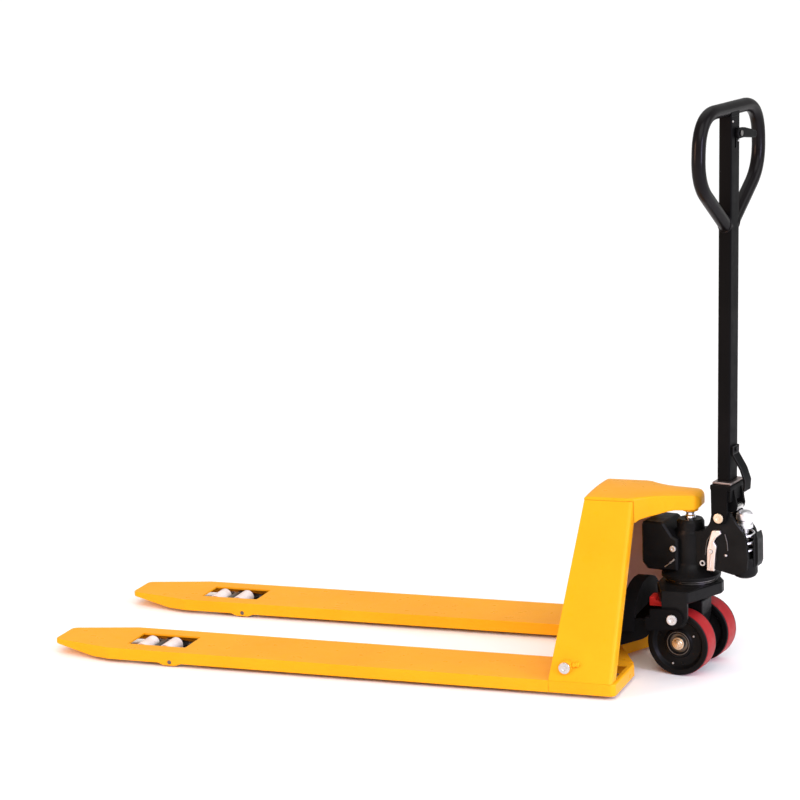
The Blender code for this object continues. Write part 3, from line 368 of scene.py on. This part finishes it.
def sweep(bm, path, radius, steps=20, closed=False, first_side=(1, 0, 0)):
    """Round bar along a list of points."""
    points = [Vector(p) for p in path]
    count = len(points)
    side = Vector(first_side)
    loops = []
    for i, point in enumerate(points):
        before = points[i - 1] if (i or closed) else point
        after = points[(i + 1) % count] if (i < count - 1 or closed) else point
        along = (after - before).normalized()
        side = (side - along * side.dot(along)).normalized()
        up = along.cross(side)
        loops.append([bm.verts.new(point + side * radius * math.cos(math.tau * k / steps)
                                   + up * radius * math.sin(math.tau * k / steps)) for k in range(steps)])
    skin(bm, loops, closed)


def skin(bm, loops, closed=False):
    """Faces between neighbouring loops of vertices; open ends get a cap."""
    pairs = zip(loops, loops[1:] + loops[:1]) if closed else zip(loops, loops[1:])
    for low, high in pairs:
        for i in range(len(low)):
            j = (i + 1) % len(low)
            bm.faces.new((low[i], low[j], high[j], high[i]))
    if not closed:
        bm.faces.new(loops[0])
        bm.faces.new(loops[-1])


def extruded(bm, outline, axis, low, high):
    """A prism: a closed outline pulled along an axis."""
    base = [bm.verts.new(axis_point(axis, u, v, low)) for u, v in outline]
    top = [bm.verts.new(axis_point(axis, u, v, high)) for u, v in outline]
    bm.faces.new(base)
    bm.faces.new(top[::-1])
    for i in range(len(base)):
        j = (i + 1) % len(base)
        bm.faces.new((base[i], base[j], top[j], top[i]))


def round_edges(obj, width):
    """Round every sharp edge of a piece made here; the width is in millimetres."""
    rounding = obj.modifiers.new("edges", "BEVEL")
    rounding.limit_method = "ANGLE"
    rounding.angle_limit = math.radians(ROUNDED_EDGE)
    rounding.width = width * MM
    rounding.segments = 3
    even_normals(obj)


def solid(name, node, looks, matrix, shapes, edge=0.0, extra=()):
    """One riding piece from several closed shapes: shapes are functions that add to a bmesh."""
    bm = bmesh.new()
    for shape in shapes:
        part = bmesh.new()
        shape(part)
        bmesh.ops.recalc_face_normals(part, faces=part.faces)
        mesh = bpy.data.meshes.new("part")
        part.to_mesh(mesh)
        part.free()
        bm.from_mesh(mesh)
        bpy.data.meshes.remove(mesh)
    obj = made(name, bm, matrix, looks)
    if edge:
        round_edges(obj, edge)
    return settle(obj, node, extra)


def detail(name, body, slot, looks, matrix, shapes, edge=0.0):
    """A small riding piece with no CAD node of its own."""
    bm = bmesh.new()
    for shape in shapes:
        shape(bm)
    obj = made(name, bm, matrix, looks)
    if edge:
        round_edges(obj, edge)
    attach(obj, body)


# ---------------------------------------------------------------- pieces of the truck

def wheels():
    """Hub with studs and rivets, tread with rounded edges, bearing and axle nut, on both sides."""
    for name, sign in SIDES:
        y = sign * WHEEL_Y

        def across(points, y=y, sign=sign):
            return [(r, y + sign * d) for r, d in points]

        face = rounded([(20.6, 19.2), (29, 19.2), (31, 16), (50, 16), (55, 23.6), (65.2, 24.4), (66.6, 23),
                        (66.6, 20), (57.5, 20), (57.5, -20), (66.6, -20), (66.6, -23), (65.2, -24.4),
                        (55, -23.4), (49, -17), (29, -21), (20.6, -21)],
                       [0.8, 1.2, 1.5, 4, 3, 0.8, 0.8, 0, 0, 0, 0, 0.8, 0.8, 3, 4, 1.5, 0.8], 4)
        hub = [lambda bm, face=face: turned(bm, across(face), "Y", (0, WHEEL_Z), 96)]
        for k in range(3):
            angle = math.tau * (k / 3 + 0.11)
            spot = (44 * math.cos(angle), WHEEL_Z + 44 * math.sin(angle))
            stud = rounded([(0, 15.5), (0, 17.6), (3.0, 17.6), (3.0, 15.5)], [0, 0, 0.8, 0], 3)
            hub.append(lambda bm, spot=spot, stud=stud: turned(bm, across(stud), "Y", spot, 20))
        solid(f"hub_{name}", f"wheel_hub_{name}", HUB, STEERING, hub)
        edge = rounded([(57.8, 19.7), (67.5, 19.7), (67.5, -19.7), (57.8, -19.7)], [0, 2.2, 2.2, 0], 8)
        solid(f"tread_{name}", f"wheel_tread_{name}", RED, STEERING,
              [lambda bm, edge=edge: turned(bm, across(edge), "Y", (0, WHEEL_Z), 128)])
        race = rounded([(10.4, -20), (20.3, -20), (20.3, 15.8), (18.6, 15.8), (18.0, 14.2), (14.0, 14.2),
                        (13.4, 15.8), (10.4, 15.8)], [0, 0.5, 0.7, 0.4, 0, 0, 0.4, 0.6], 3)
        ring = rounded([(23.4, 19.3), (25.2, 19.3), (25.2, 20.4), (23.4, 20.4)], [0, 0, 0.4, 0.4], 3)
        solid(f"bearing_{name}", f"wheel_bearing_{name}", DARK_STEEL, STEERING,
              [lambda bm, race=race: turned(bm, across(race), "Y", (0, WHEEL_Z), 64),
               lambda bm, ring=ring: turned(bm, across(ring), "Y", (0, WHEEL_Z), 64)])
        nut = rounded([(0, 74.6), (0, 80.6), (4, 80.6), (4.6, 79.6), (8.6, 79.6), (9.6, 78.4), (9.6, 76.6),
                       (13.2, 76.6), (13.2, 74.6)], [0, 0, 0.4, 0.4, 0.8, 0.4, 0, 0.6, 0], 3)
        solid(f"nut_{name}", f"axle_nut_{name}", BRASS, STEERING,
              [lambda bm, nut=nut, sign=sign: turned(bm, [(r, sign * d) for r, d in nut],
                                                     "Y", (0, WHEEL_Z), 36)])
        for k, (radius, angle) in enumerate(((38.0, 28.0), (46.6, -107.0))):
            spot = (radius * math.cos(math.radians(angle)), WHEEL_Z + radius * math.sin(math.radians(angle)))
            rivet = rounded([(0, 15.5), (0, 18.2), (2.2, 18.2), (2.2, 15.5)], [0, 0, 1, 0], 3)
            detail(f"hub_rivet_{name}_{k}", f"wheel_{name}", "steel", STEEL, STEERING,
                   [lambda bm, spot=spot, rivet=rivet: turned(bm, across(rivet), "Y", spot, 16)])


def load_rollers():
    """Nylon rollers with a shallow groove in each end face, two in each fork."""
    for name, sign in SIDES:
        y = sign * FORK_Y
        for place, x in (("front", -1170.0), ("rear", -1114.0)):
            outline = rounded([(5.3, y - 30), (8.5, y - 30), (9.2, y - 28.8), (13.6, y - 28.8),
                               (14.2, y - 30), (15.8, y - 30), (15.8, y + 30), (14.2, y + 30),
                               (13.6, y + 28.8), (9.2, y + 28.8), (8.5, y + 30), (5.3, y + 30)],
                              [0, 0.3, 0.3, 0.3, 0.3, 1.2, 1.2, 0.3, 0.3, 0.3, 0.3, 0], 4)
            node = f"load_roller_{place}_{name}"
            solid(f"{node}_fine", node, NYLON, TRUCK,
                  [lambda bm, outline=outline, x=x: turned(bm, outline, "Y", (x, ROLLER_Z), 64)])


def bend(start, corner, stop, steps):
    """Points on a smooth curve between two straights that meet at a corner."""
    a, b, c = Vector(start), Vector(corner), Vector(stop)
    return [tuple(a.lerp(b, i / steps).lerp(b.lerp(c, i / steps), i / steps)) for i in range(steps + 1)]


def loop():
    """Bent tube handle; each end runs into the mast, with a weld bead round it."""
    top, radius = 1167.2, 14.0
    right = [(0, top), (40, top)] + bend((76, top), (157, top), (157.4, 1087), 22)
    right += bend((157.7, 1080), (158, 1033), (119, 1005.5), 18) + [(70, 971.5), (12, 931.2)]
    left = [(-y, z) for y, z in right[:0:-1]]
    path = [(MAST_X, y, z) for y, z in left + right]
    beads = []
    for sign in (-1, 1):
        ring = []
        for i in range(40):
            a = math.tau * i / 40
            ring.append((MAST_X + 13.4 * math.cos(a), sign * 22.3, 938.4 + 17.5 * math.sin(a)))
        beads.append(lambda bm, ring=ring: sweep(bm, ring, 2.2, 10, closed=True, first_side=(0, 1, 0)))
    solid("handle_loop", "loop_handle", (GRIP,), TILLER, [lambda bm: sweep(bm, path, radius, 40)] + beads)


def spring_and_plunger():
    """Coil round the plunger, the cap over it and the roller that presses on the cap."""
    turns, radius, wire = 3.6, 19.3, 2.6
    low, high = 249.2, 304.8
    count = 240
    path = []
    for i in range(count + 1):
        a = math.tau * turns * i / count
        path.append((PLUNGER_X + radius * math.cos(a), radius * math.sin(a), low + (high - low) * i / count))
    coil = bmesh.new()
    sweep(coil, path, wire, 14)
    spring = made("spring", coil, STEERING, CAP_STEEL)
    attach(spring, "steering")
    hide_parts("plunger_spring")
    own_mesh(spring)
    cap = rounded([(9.3, 307.7), (17, 307.7), (17, 316), (15, 318), (15, 324), (17, 326), (17, 338),
                   (12, 343.6), (0, 343.6), (0, 312.3), (9.3, 312.3)], [0, 1.2, 1, 1, 1, 1, 3, 4, 0, 0, 0], 5)
    solid("cap", "plunger_cap", CAP_STEEL, STEERING, [lambda bm: turned(bm, cap, "Z", (PLUNGER_X, 0), 64)])
    roller = rounded([(3.9, -16), (7.0, -16), (7.0, 16), (3.9, 16)], [0, 1, 1, 0], 4)
    solid("roller", "press_roller", TURNED, TILLER, [lambda bm: turned(bm, roller, "Y", (104.5, 352), 48)])


def head():
    """Pressed head: rounded sections along the truck, with the shoulder that narrows to the nose.

    plan holds (x, half width), under (x, lower edge) and crown (x, top), with a section at each mark.
    """
    thin_end, deep_start = -99.3, -98.8
    plan = [(-204, 84.6), (-112, 84.8), (-104, 83), (-96, 77.5), (-86, 69), (-74, 60.5), (-60, 53.5),
            (-44, 47.5), (-20, 42), (0, 38), (10, 35.5), (18, 31), (24, 23.5), (27.2, 14), (28, 8)]
    under = [(-204, 366.6), (thin_end, 366.6), (deep_start, 320), (-90, 326), (-74, 330), (-60, 333),
             (-42, 338), (-24, 341.8), (10, 341.9), (18, 342.5), (24, 345.5), (28, 350)]
    crown = [(-204, 372.6), (-202.9, 374.2), (-200, 375.7), (-195, 376.3), (10, 376.4), (19, 374.6),
             (25, 370), (28, 363)]

    def read(table, x):
        for (xa, va), (xb, vb) in zip(table, table[1:]):
            if x <= xb:
                return va + (vb - va) * (x - xa) / (xb - xa)
        return table[-1][1]

    marks = sorted({-204, -203.4, -202.9, -201.5, -200, -197.5, -195, *range(-190, -100, 15),
                    thin_end, deep_start, *range(-97, 21, 3), 21, 22.5, 24, 25, 26, 27, 27.6, 28})
    sections = []
    for x in marks:
        half, low, high = read(plan, x), read(under, x), read(crown, x)
        corner = min(22.0, (high - low) * 0.6, half * 0.62)
        foot = min(4.0, (high - low) * 0.1)
        fall = min(3.2, (high - low) * 0.75)
        dome = [(half * k / 6, high - fall * (k / 6) ** 2) for k in range(5, -6, -1)]
        outline = rounded([(-half, low), (half, low), (half, high - fall), *dome, (-half, high - fall)],
                          [foot, foot, corner] + [0] * 11 + [corner], 7)
        sections.append([(x, y, z) for y, z in outline])

    def shape(bm):
        skin(bm, [[bm.verts.new(p) for p in section] for section in sections])

    solid("head_fine", "head_cover", (YELLOW,), TRUCK, [shape])
    seat = rounded([(0, 341.7), (0, 337.3), (7.5, 336.2), (13, 333.5), (17, 334.5), (17, 341.7)],
                   [0, 0, 1, 2, 2, 0], 4)
    solid("seat_fine", "head_seat", (YELLOW,), TRUCK, [lambda bm: turned(bm, seat, "Z", (0, 0), 48)])
    piston = rounded([(0, 252), (11, 252), (11, 324), (9, 326), (9, 330.5), (11, 331.8), (7.5, 335.6),
                      (0, 336.8)], [0, 0, 0.6, 0.5, 0.5, 1, 1, 0], 4)
    solid("piston_fine", "piston_rod", CHROME, TRUCK, [lambda bm: turned(bm, piston, "Z", (0, 0), 48)])


def side_plates():
    """Leaning sides of the upright: a plate that bends into the rear flange, with a boss and two lugs."""
    for name, sign in SIDES:
        def section(front_x, rear_x, outer_y, z, sign=sign):
            points = [(front_x, 0), (rear_x, 0), (rear_x, 33), (rear_x - 5, 33), (rear_x - 5, 5),
                      (front_x, 5)]
            soft = rounded(points, [1.2, 9.0, 1.2, 1.2, 4.5, 1.2], 8)
            return [(x, outer_y * sign - sign * inset, z) for x, inset in soft]

        def plate(bm, section=section):
            low, high = section(-232.0, -98.0, 275.0, 33.3), section(-203.5, -100.0, 85.2, 366.4)
            rows = []
            for k in (0, 0.004, 0.996, 1):
                rows.append([bm.verts.new(Vector(a).lerp(Vector(b), k)) for a, b in zip(low, high)])
            skin(bm, rows)

        boss = rounded([(9.4, 256 * sign), (14, 256 * sign), (14, 268.4 * sign), (9.4, 268.4 * sign)],
                       [0, 0, 1.2, 0.4], 4)
        lug = rounded([(0, 250 * sign), (4.6, 250 * sign), (4.6, 264.4 * sign), (0, 264.4 * sign)],
                      [0, 0, 1.4, 0], 4)
        side = solid(f"side_{name}", f"side_plate_{name}", (YELLOW, PAINTED_SHADE_MAUVE), TRUCK,
                     [plate, lambda bm, boss=boss: turned(bm, boss, "Y", PIVOT_PIN, 48),
                      lambda bm, lug=lug: turned(bm, lug, "Y", (-180.5, 65), 24),
                      lambda bm, lug=lug: turned(bm, lug, "Y", (-173, 66.5), 24)])
        for face in side.data.polygons:     # painted shade: mauve on the large inner faces and the flange's front, which lie in shade
            flange_front = face.normal.x < -0.9 and face.center.x > STEER_POS.x - 0.15
            if face.normal.y * sign < -0.3 and face.area > 1e-3 or flange_front:
                face.material_index = 1


def small_details():
    """Pieces with no CAD node: spring guard, saddle, panel foot, screw, pocket edges, rivets, clip, rib."""
    def bar(path, radius, steps=10):
        return lambda bm: sweep(bm, path, radius, steps, first_side=(0, 1, 0))

    def stud(axis, centre, radius, base, tip):
        outline = rounded([(0, base), (0, tip), (radius, tip), (radius, base)], [0, 0, radius * 0.45, 0], 4)
        return lambda bm: turned(bm, outline, axis, centre, 20)

    def shell(bm):
        first, turn, steps = -27, 127, 24
        inner, outer = 24.6, 27.0
        inside, outside = [], []
        for k in range(steps + 1):
            a = math.radians(first + turn * k / steps)
            inside.append((PLUNGER_X + inner * math.cos(a), inner * math.sin(a)))
            outside.append((PLUNGER_X + outer * math.cos(a), outer * math.sin(a)))
        extruded(bm, inside + outside[::-1], "Z", 228, 298)

    detail("spring_guard", "steering", "cast_black", CAST, STEERING, [shell], 1.0)
    saddle = rounded([(68.2, 1150), (94.8, 1150), (94.8, 1167), (68.2, 1167)], [0, 0, 6, 6], 6)
    detail("mast_saddle", "tiller", "black_paint", BLACK, TILLER,
           [lambda bm: extruded(bm, saddle, "Y", -21, 21)], 1.0)
    foot = rounded([(-227, 33.3), (-220.4, 33.3), (-221, 40), (-226.7, 40)], [0.6, 0.6, 0.6, 0.6], 3)
    detail("panel_foot", "frame", "yellow_paint", YELLOW, TRUCK,
           [lambda bm: extruded(bm, foot, "Y", -264, 264)])
    detail("drain_screw", "steering", "steel", STEEL, STEERING,
           [bar([(-17.5, -46.2, 239), (-22, -46.6, 234.5), (-28, -46.6, 230)], 2.2),
            bar([(-28, -46.6, 230), (-34, -46.6, 225), (-39.5, -46.2, 220.6)], 1.4)])
    detail("pocket_edge_rear", "steering", "cast_black", DARK_STEEL, STEERING,
           [bar([(66, -35.2, 301), (58, -35.2, 293), (52, -35.2, 284), (49, -35.2, 271),
                 (46.5, -35.2, 252)], 1.1)])
    detail("pocket_edge_front", "steering", "cast_black", DARK_STEEL, STEERING,
           [bar([(90.5, -35.2, 299), (95, -35.2, 283), (96.5, -35.2, 265)], 1.0)])
    detail("pocket_rivet", "steering", "steel", STEEL, STEERING,
           [stud("Y", (92.3, 254.4), 2.6, -33.8, -36.4)])
    detail("mast_rivet", "tiller", "steel", STEEL, TILLER,
           [stud("X", (-16.5, 1143.4), 2.3, MAST_REAR - 0.2, MAST_REAR + 1.6)])
    detail("lever_clip", "tiller", "steel", STEEL, TILLER,
           [stud("X", (10.8, 1103.0), 2.3, MAST_REAR - 0.2, MAST_REAR + 2.4)])
    detail("lever_rib", "release", "cast_zinc", ZINC, STEERING,
           [bar([(59, -42.6, 226), (61, -42.6, 243), (63, -42.6, 256)], 2.0),
            bar([(66, -42.6, 268), (66.5, -42.6, 282), (74, -42.6, 294)], 1.6)])


def buffer_piece():
    """Red buffer block with a step in its top."""
    outline = rounded([(-74, 142), (-48, 142), (-48, 153), (-59, 153.5), (-61, 161.5), (-74, 161.5)],
                      [2.5, 2, 2, 3, 2, 2.5], 5)
    solid("buffer_fine", "buffer", BUFFER_RED, TRUCK, [lambda bm: extruded(bm, outline, "Y", -64, -32)], 1.6)


def fasteners():
    """Round bolt and pin heads with a chamfer and a dimple."""
    def head_shape(axis, centre, radius, base, tip):
        up = 1 if tip > base else -1
        dimple = tip - up * 0.9
        outline = rounded([(0, base), (0, dimple), (radius * 0.34, dimple), (radius * 0.42, tip),
                           (radius, tip), (radius, base)], [0, 0, 0.3, 0.3, 1.3, 0], 4)
        return lambda bm: turned(bm, outline, axis, centre, 48)

    def shank(axis, centre, radius, a, b):
        return lambda bm: turned(bm, [(0, a), (0, b), (radius, b), (radius, a)], axis, centre, 32)

    for name, sign in SIDES:
        solid(f"base_pin_{name}_fine", f"base_pin_{name}", TURNED, TRUCK,
              [shank("Y", BASE_PIN, 8.0, sign * 96.5, sign * 115.4),
               head_shape("Y", BASE_PIN, 11.0, sign * 115.6, sign * 119.8)])
        solid(f"pivot_pin_{name}_fine", f"pivot_pin_{name}", TURNED, TRUCK,
              [shank("Y", PIVOT_PIN, 9.0, sign * 212.0, sign * 268.5),
               head_shape("Y", PIVOT_PIN, 12.0, sign * 268.7, sign * 272.9)])
    solid("pivot_bolt_fine", "pivot_bolt", BRASS, STEERING,
          [shank("Y", TILLER_PIVOT, 7.0, -42.5, 42.5), head_shape("Y", TILLER_PIVOT, 10.5, -42.4, -47.5),
           head_shape("Y", TILLER_PIVOT, 10.5, 42.4, 47.5)])
    solid("filler_plug_fine", "filler_plug", STEEL, STEERING,
          [head_shape("Y", (-20.5, 261), 7.0, -45.3, -49.5)])


def on_fork_top(a, b, tolerance=0.0004):
    """True for an edge, given by its two ends, that lies in the plane of the fork tops."""
    return all(abs(p.z - FORK_TOP * MM) < tolerance for p in (a, b))


def rounded_cad():
    """CAD shapes that need no change but rounded edges."""
    for name, sign in SIDES:
        # painted shade on the faces inside the fork and heel: the ceiling, the skirts' inner sides and the
        # window's walls
        dark = (lambda face, y=FORK_Y * MM * sign: under_side(face, y), PAINTED_SHADE_INSIDE)
        outline = (lambda a, b: on_fork_top(a, b) and not_window(a, b), 5.0)
        heel_end = (lambda a, b: on_fork_top(a, b) and max(a.x, b.x) > STEER_POS.x - 0.1, 4.0)
        refine(f"fork_{name}", 0.7, 5, outline, dark, (YELLOW, YELLOW))
        refine(f"heel_{name}", 0.7, 5, heel_end, dark, (YELLOW, YELLOW))
        refine(f"roller_bracket_{name}", 0.5, looks=(DARK_STEEL, DARK_STEEL))
        refine(f"roller_bogie_{name}", 0.5, looks=(DARK_STEEL, STEEL))
        refine(f"bracket_pin_{name}", 0.6, looks=(DARK_STEEL, DARK_STEEL))
        refine(f"push_rod_{name}", 0.5, looks=(MATTE, MATTE))
    refine("rocker_arm", 1.4, 3, looks=(MATTE, BLACK))
    # the front panel's rear faces get the painted mauve shade
    refine("front_panel", 0.8, 3, inner=(lambda face: face.normal.x > 0.5, PAINTED_SHADE_MAUVE))
    refine("mast_flange", 0.8, 3, looks=(FLANGE_STEEL, STEEL))
    refine("thrust_bearing", 0.5, 3, looks=(DARK_STEEL, DARK_STEEL))
    refine("lever_screw", 0.6, 3, looks=(DARK_STEEL, DARK_STEEL))
    for node, width in (("floor_plate", 1.0), ("base_bracket", 2.4), ("axle_bracket", 2.0),
                        ("pump_body", 1.5), ("release_lever", 1.0), ("tiller_yoke", 1.4), ("mast", 0.5),
                        ("control_lever", 1.2), ("rod_guide", 0.8), ("guide_rivet", 0.8),
                        ("wheel_axle", 0.6), ("valve_ring", 0.5), ("plunger", 0.4), ("release_pin", 0.4)):
        refine(node, width, 3)


# metres: heights over the floor, x from the steering axis, y from the middle of a fork
CEILING_Z, BELOW_TOP_Z = 0.02, 0.0325
SKIRT_Y, MIDDLE_Y, WINDOW_Y = 0.0785, 0.06, 0.0415
FORK_MIDDLE_X = -0.7
WINDOW_WALLS, WINDOW_EDGES = (-1.2, -1.05), (-1.199, -1.058)


def under_side(face, fork_y):
    """Faces inside a fork or heel: the ceiling, the skirts' inner sides and the window's walls."""
    spot, n = face.calc_center_median(), face.normal
    x, y = spot.x - STEER_POS.x, abs(spot.y - fork_y)
    inward = (fork_y - spot.y) * n.y > 0
    ceiling = n.z < -0.5 and spot.z > CEILING_Z
    skirt = abs(n.y) > 0.3 and inward and y < SKIRT_Y
    across = abs(n.x) > 0.5 and y < MIDDLE_Y and spot.z < BELOW_TOP_Z
    window = abs(n.x) > 0.5 and WINDOW_WALLS[0] < x < WINDOW_WALLS[1]
    return ceiling or skirt or window or (across and n.x * (x - FORK_MIDDLE_X) < 0)


def not_window(a, b):
    """True on the fork's outer outline, false on the edges of its roller window."""
    low, high = WINDOW_EDGES
    return not all(abs(abs(p.y) - FORK_Y * MM) < WINDOW_Y and low < p.x - STEER_POS.x < high for p in (a, b))


# ---------------------------------------------------------------- camera, lights and floor

LENS, SENSOR = 120.465, 36.0                     # mm
FAR_CLIP = 250.0                                 # metres, like the floor's sizes
FLOOR_HALF, FLOOR_DROP = 90.0, 0.0005
WORLD_STRENGTH = 0.46
AZIMUTH, ELEVATION, ROLL = 20.69, 11.42, -2.13
CAMERA_AT = Vector((1.3494, -5.2520, 1.6785))    # metres from the steering axis on the floor


def camera():
    """View of the truck's left side, a little from behind; the angles are in degrees."""
    a, e, r = (math.radians(x) for x in (AZIMUTH, ELEVATION, ROLL))
    forward = Vector((-math.sin(a) * math.cos(e), math.cos(a) * math.cos(e), -math.sin(e)))
    level = Vector((math.cos(a), math.sin(a), 0))
    above = level.cross(forward)
    right = math.cos(r) * level + math.sin(r) * above
    up = math.cos(r) * above - math.sin(r) * level
    turn = Matrix((right, up, -forward)).transposed().to_4x4()
    data = bpy.data.cameras.new("camera")
    data.sensor_width = SENSOR
    data.lens = LENS
    data.clip_end = FAR_CLIP
    obj = bpy.data.objects.new("camera", data)
    bpy.context.scene.collection.objects.link(obj)
    obj.matrix_world = Matrix.Translation(Vector((STEER_POS.x, 0, 0)) + CAMERA_AT) @ turn
    bpy.context.scene.camera = obj


def area_light(name, place, target, size, power, colour):
    """A rectangular light in metres and watts that faces its target."""
    data = bpy.data.lights.new(name, "AREA")
    data.shape = "RECTANGLE"
    data.size, data.size_y = size
    data.energy = power
    data.color = colour
    obj = bpy.data.objects.new(name, data)
    obj.location = place
    obj.rotation_euler = (Vector(target) - Vector(place)).to_track_quat("-Z", "Y").to_euler()
    bpy.context.scene.collection.objects.link(obj)


def sun(name, azimuth, elevation, strength, softness):
    """Light from a direction in degrees; softness is the width of its disc in degrees."""
    data = bpy.data.lights.new(name, "SUN")
    data.energy = strength
    data.angle = math.radians(softness)
    obj = bpy.data.objects.new(name, data)
    a, e = math.radians(azimuth), math.radians(elevation)
    toward = Vector((math.sin(a) * math.cos(e), -math.cos(a) * math.cos(e), math.sin(e)))
    obj.rotation_euler = toward.to_track_quat("Z", "Y").to_euler()
    bpy.context.scene.collection.objects.link(obj)


def studio():
    """Three soft suns, white surroundings, a warm and a cool strip light, and a pale floor."""
    sun("key", 26, 46, 1.62, 50)
    sun("side", 98, 24, 0.9, 40)
    sun("top", 200, 66, 0.65, 60)
    area_light("warm_strip", (-1.9, -2.6, 1.5), (0.75, 0, 1.05), (0.7, 1.4), 60, (1.0, 0.55, 0.38))
    area_light("cool_strip", (3.3, -1.5, 1.3), (0.75, 0, 1.05), (0.6, 1.4), 60, (0.70, 0.66, 1.0))
    world = bpy.data.worlds.new("studio")
    world.use_nodes = True
    world.node_tree.nodes["Background"].inputs["Color"].default_value = (1, 1, 1, 1)
    world.node_tree.nodes["Background"].inputs["Strength"].default_value = WORLD_STRENGTH
    bpy.context.scene.world = world
    bpy.context.scene.view_settings.view_transform = "Standard"
    s = Surface("pale_floor")
    colour = s.ramp(s.noise(1.5, 3.0), [(0.3, (0.96, 0.96, 0.96)), (0.7, (0.98, 0.98, 0.98))])
    floor_look = s.done(colour, s.span(s.noise(12.0, 4.0), 0.55, 0.7))
    bm = bmesh.new()
    bmesh.ops.create_grid(bm, x_segments=2, y_segments=2, size=FLOOR_HALF)
    bmesh.ops.translate(bm, verts=bm.verts, vec=(0, 0, -FLOOR_DROP))
    made("floor", bm, Matrix.Identity(4), floor_look)


camera()
studio()
for cad_node, cad_object in frame["nodes"].items():
    dress(cad_object, SLOT_LOOKS[NODE_SLOT[cad_node]][:1])
rounded_cad()
side_plates()
head()
buffer_piece()
small_details()
wheels()
load_rollers()
loop()
spring_and_plunger()
fasteners()
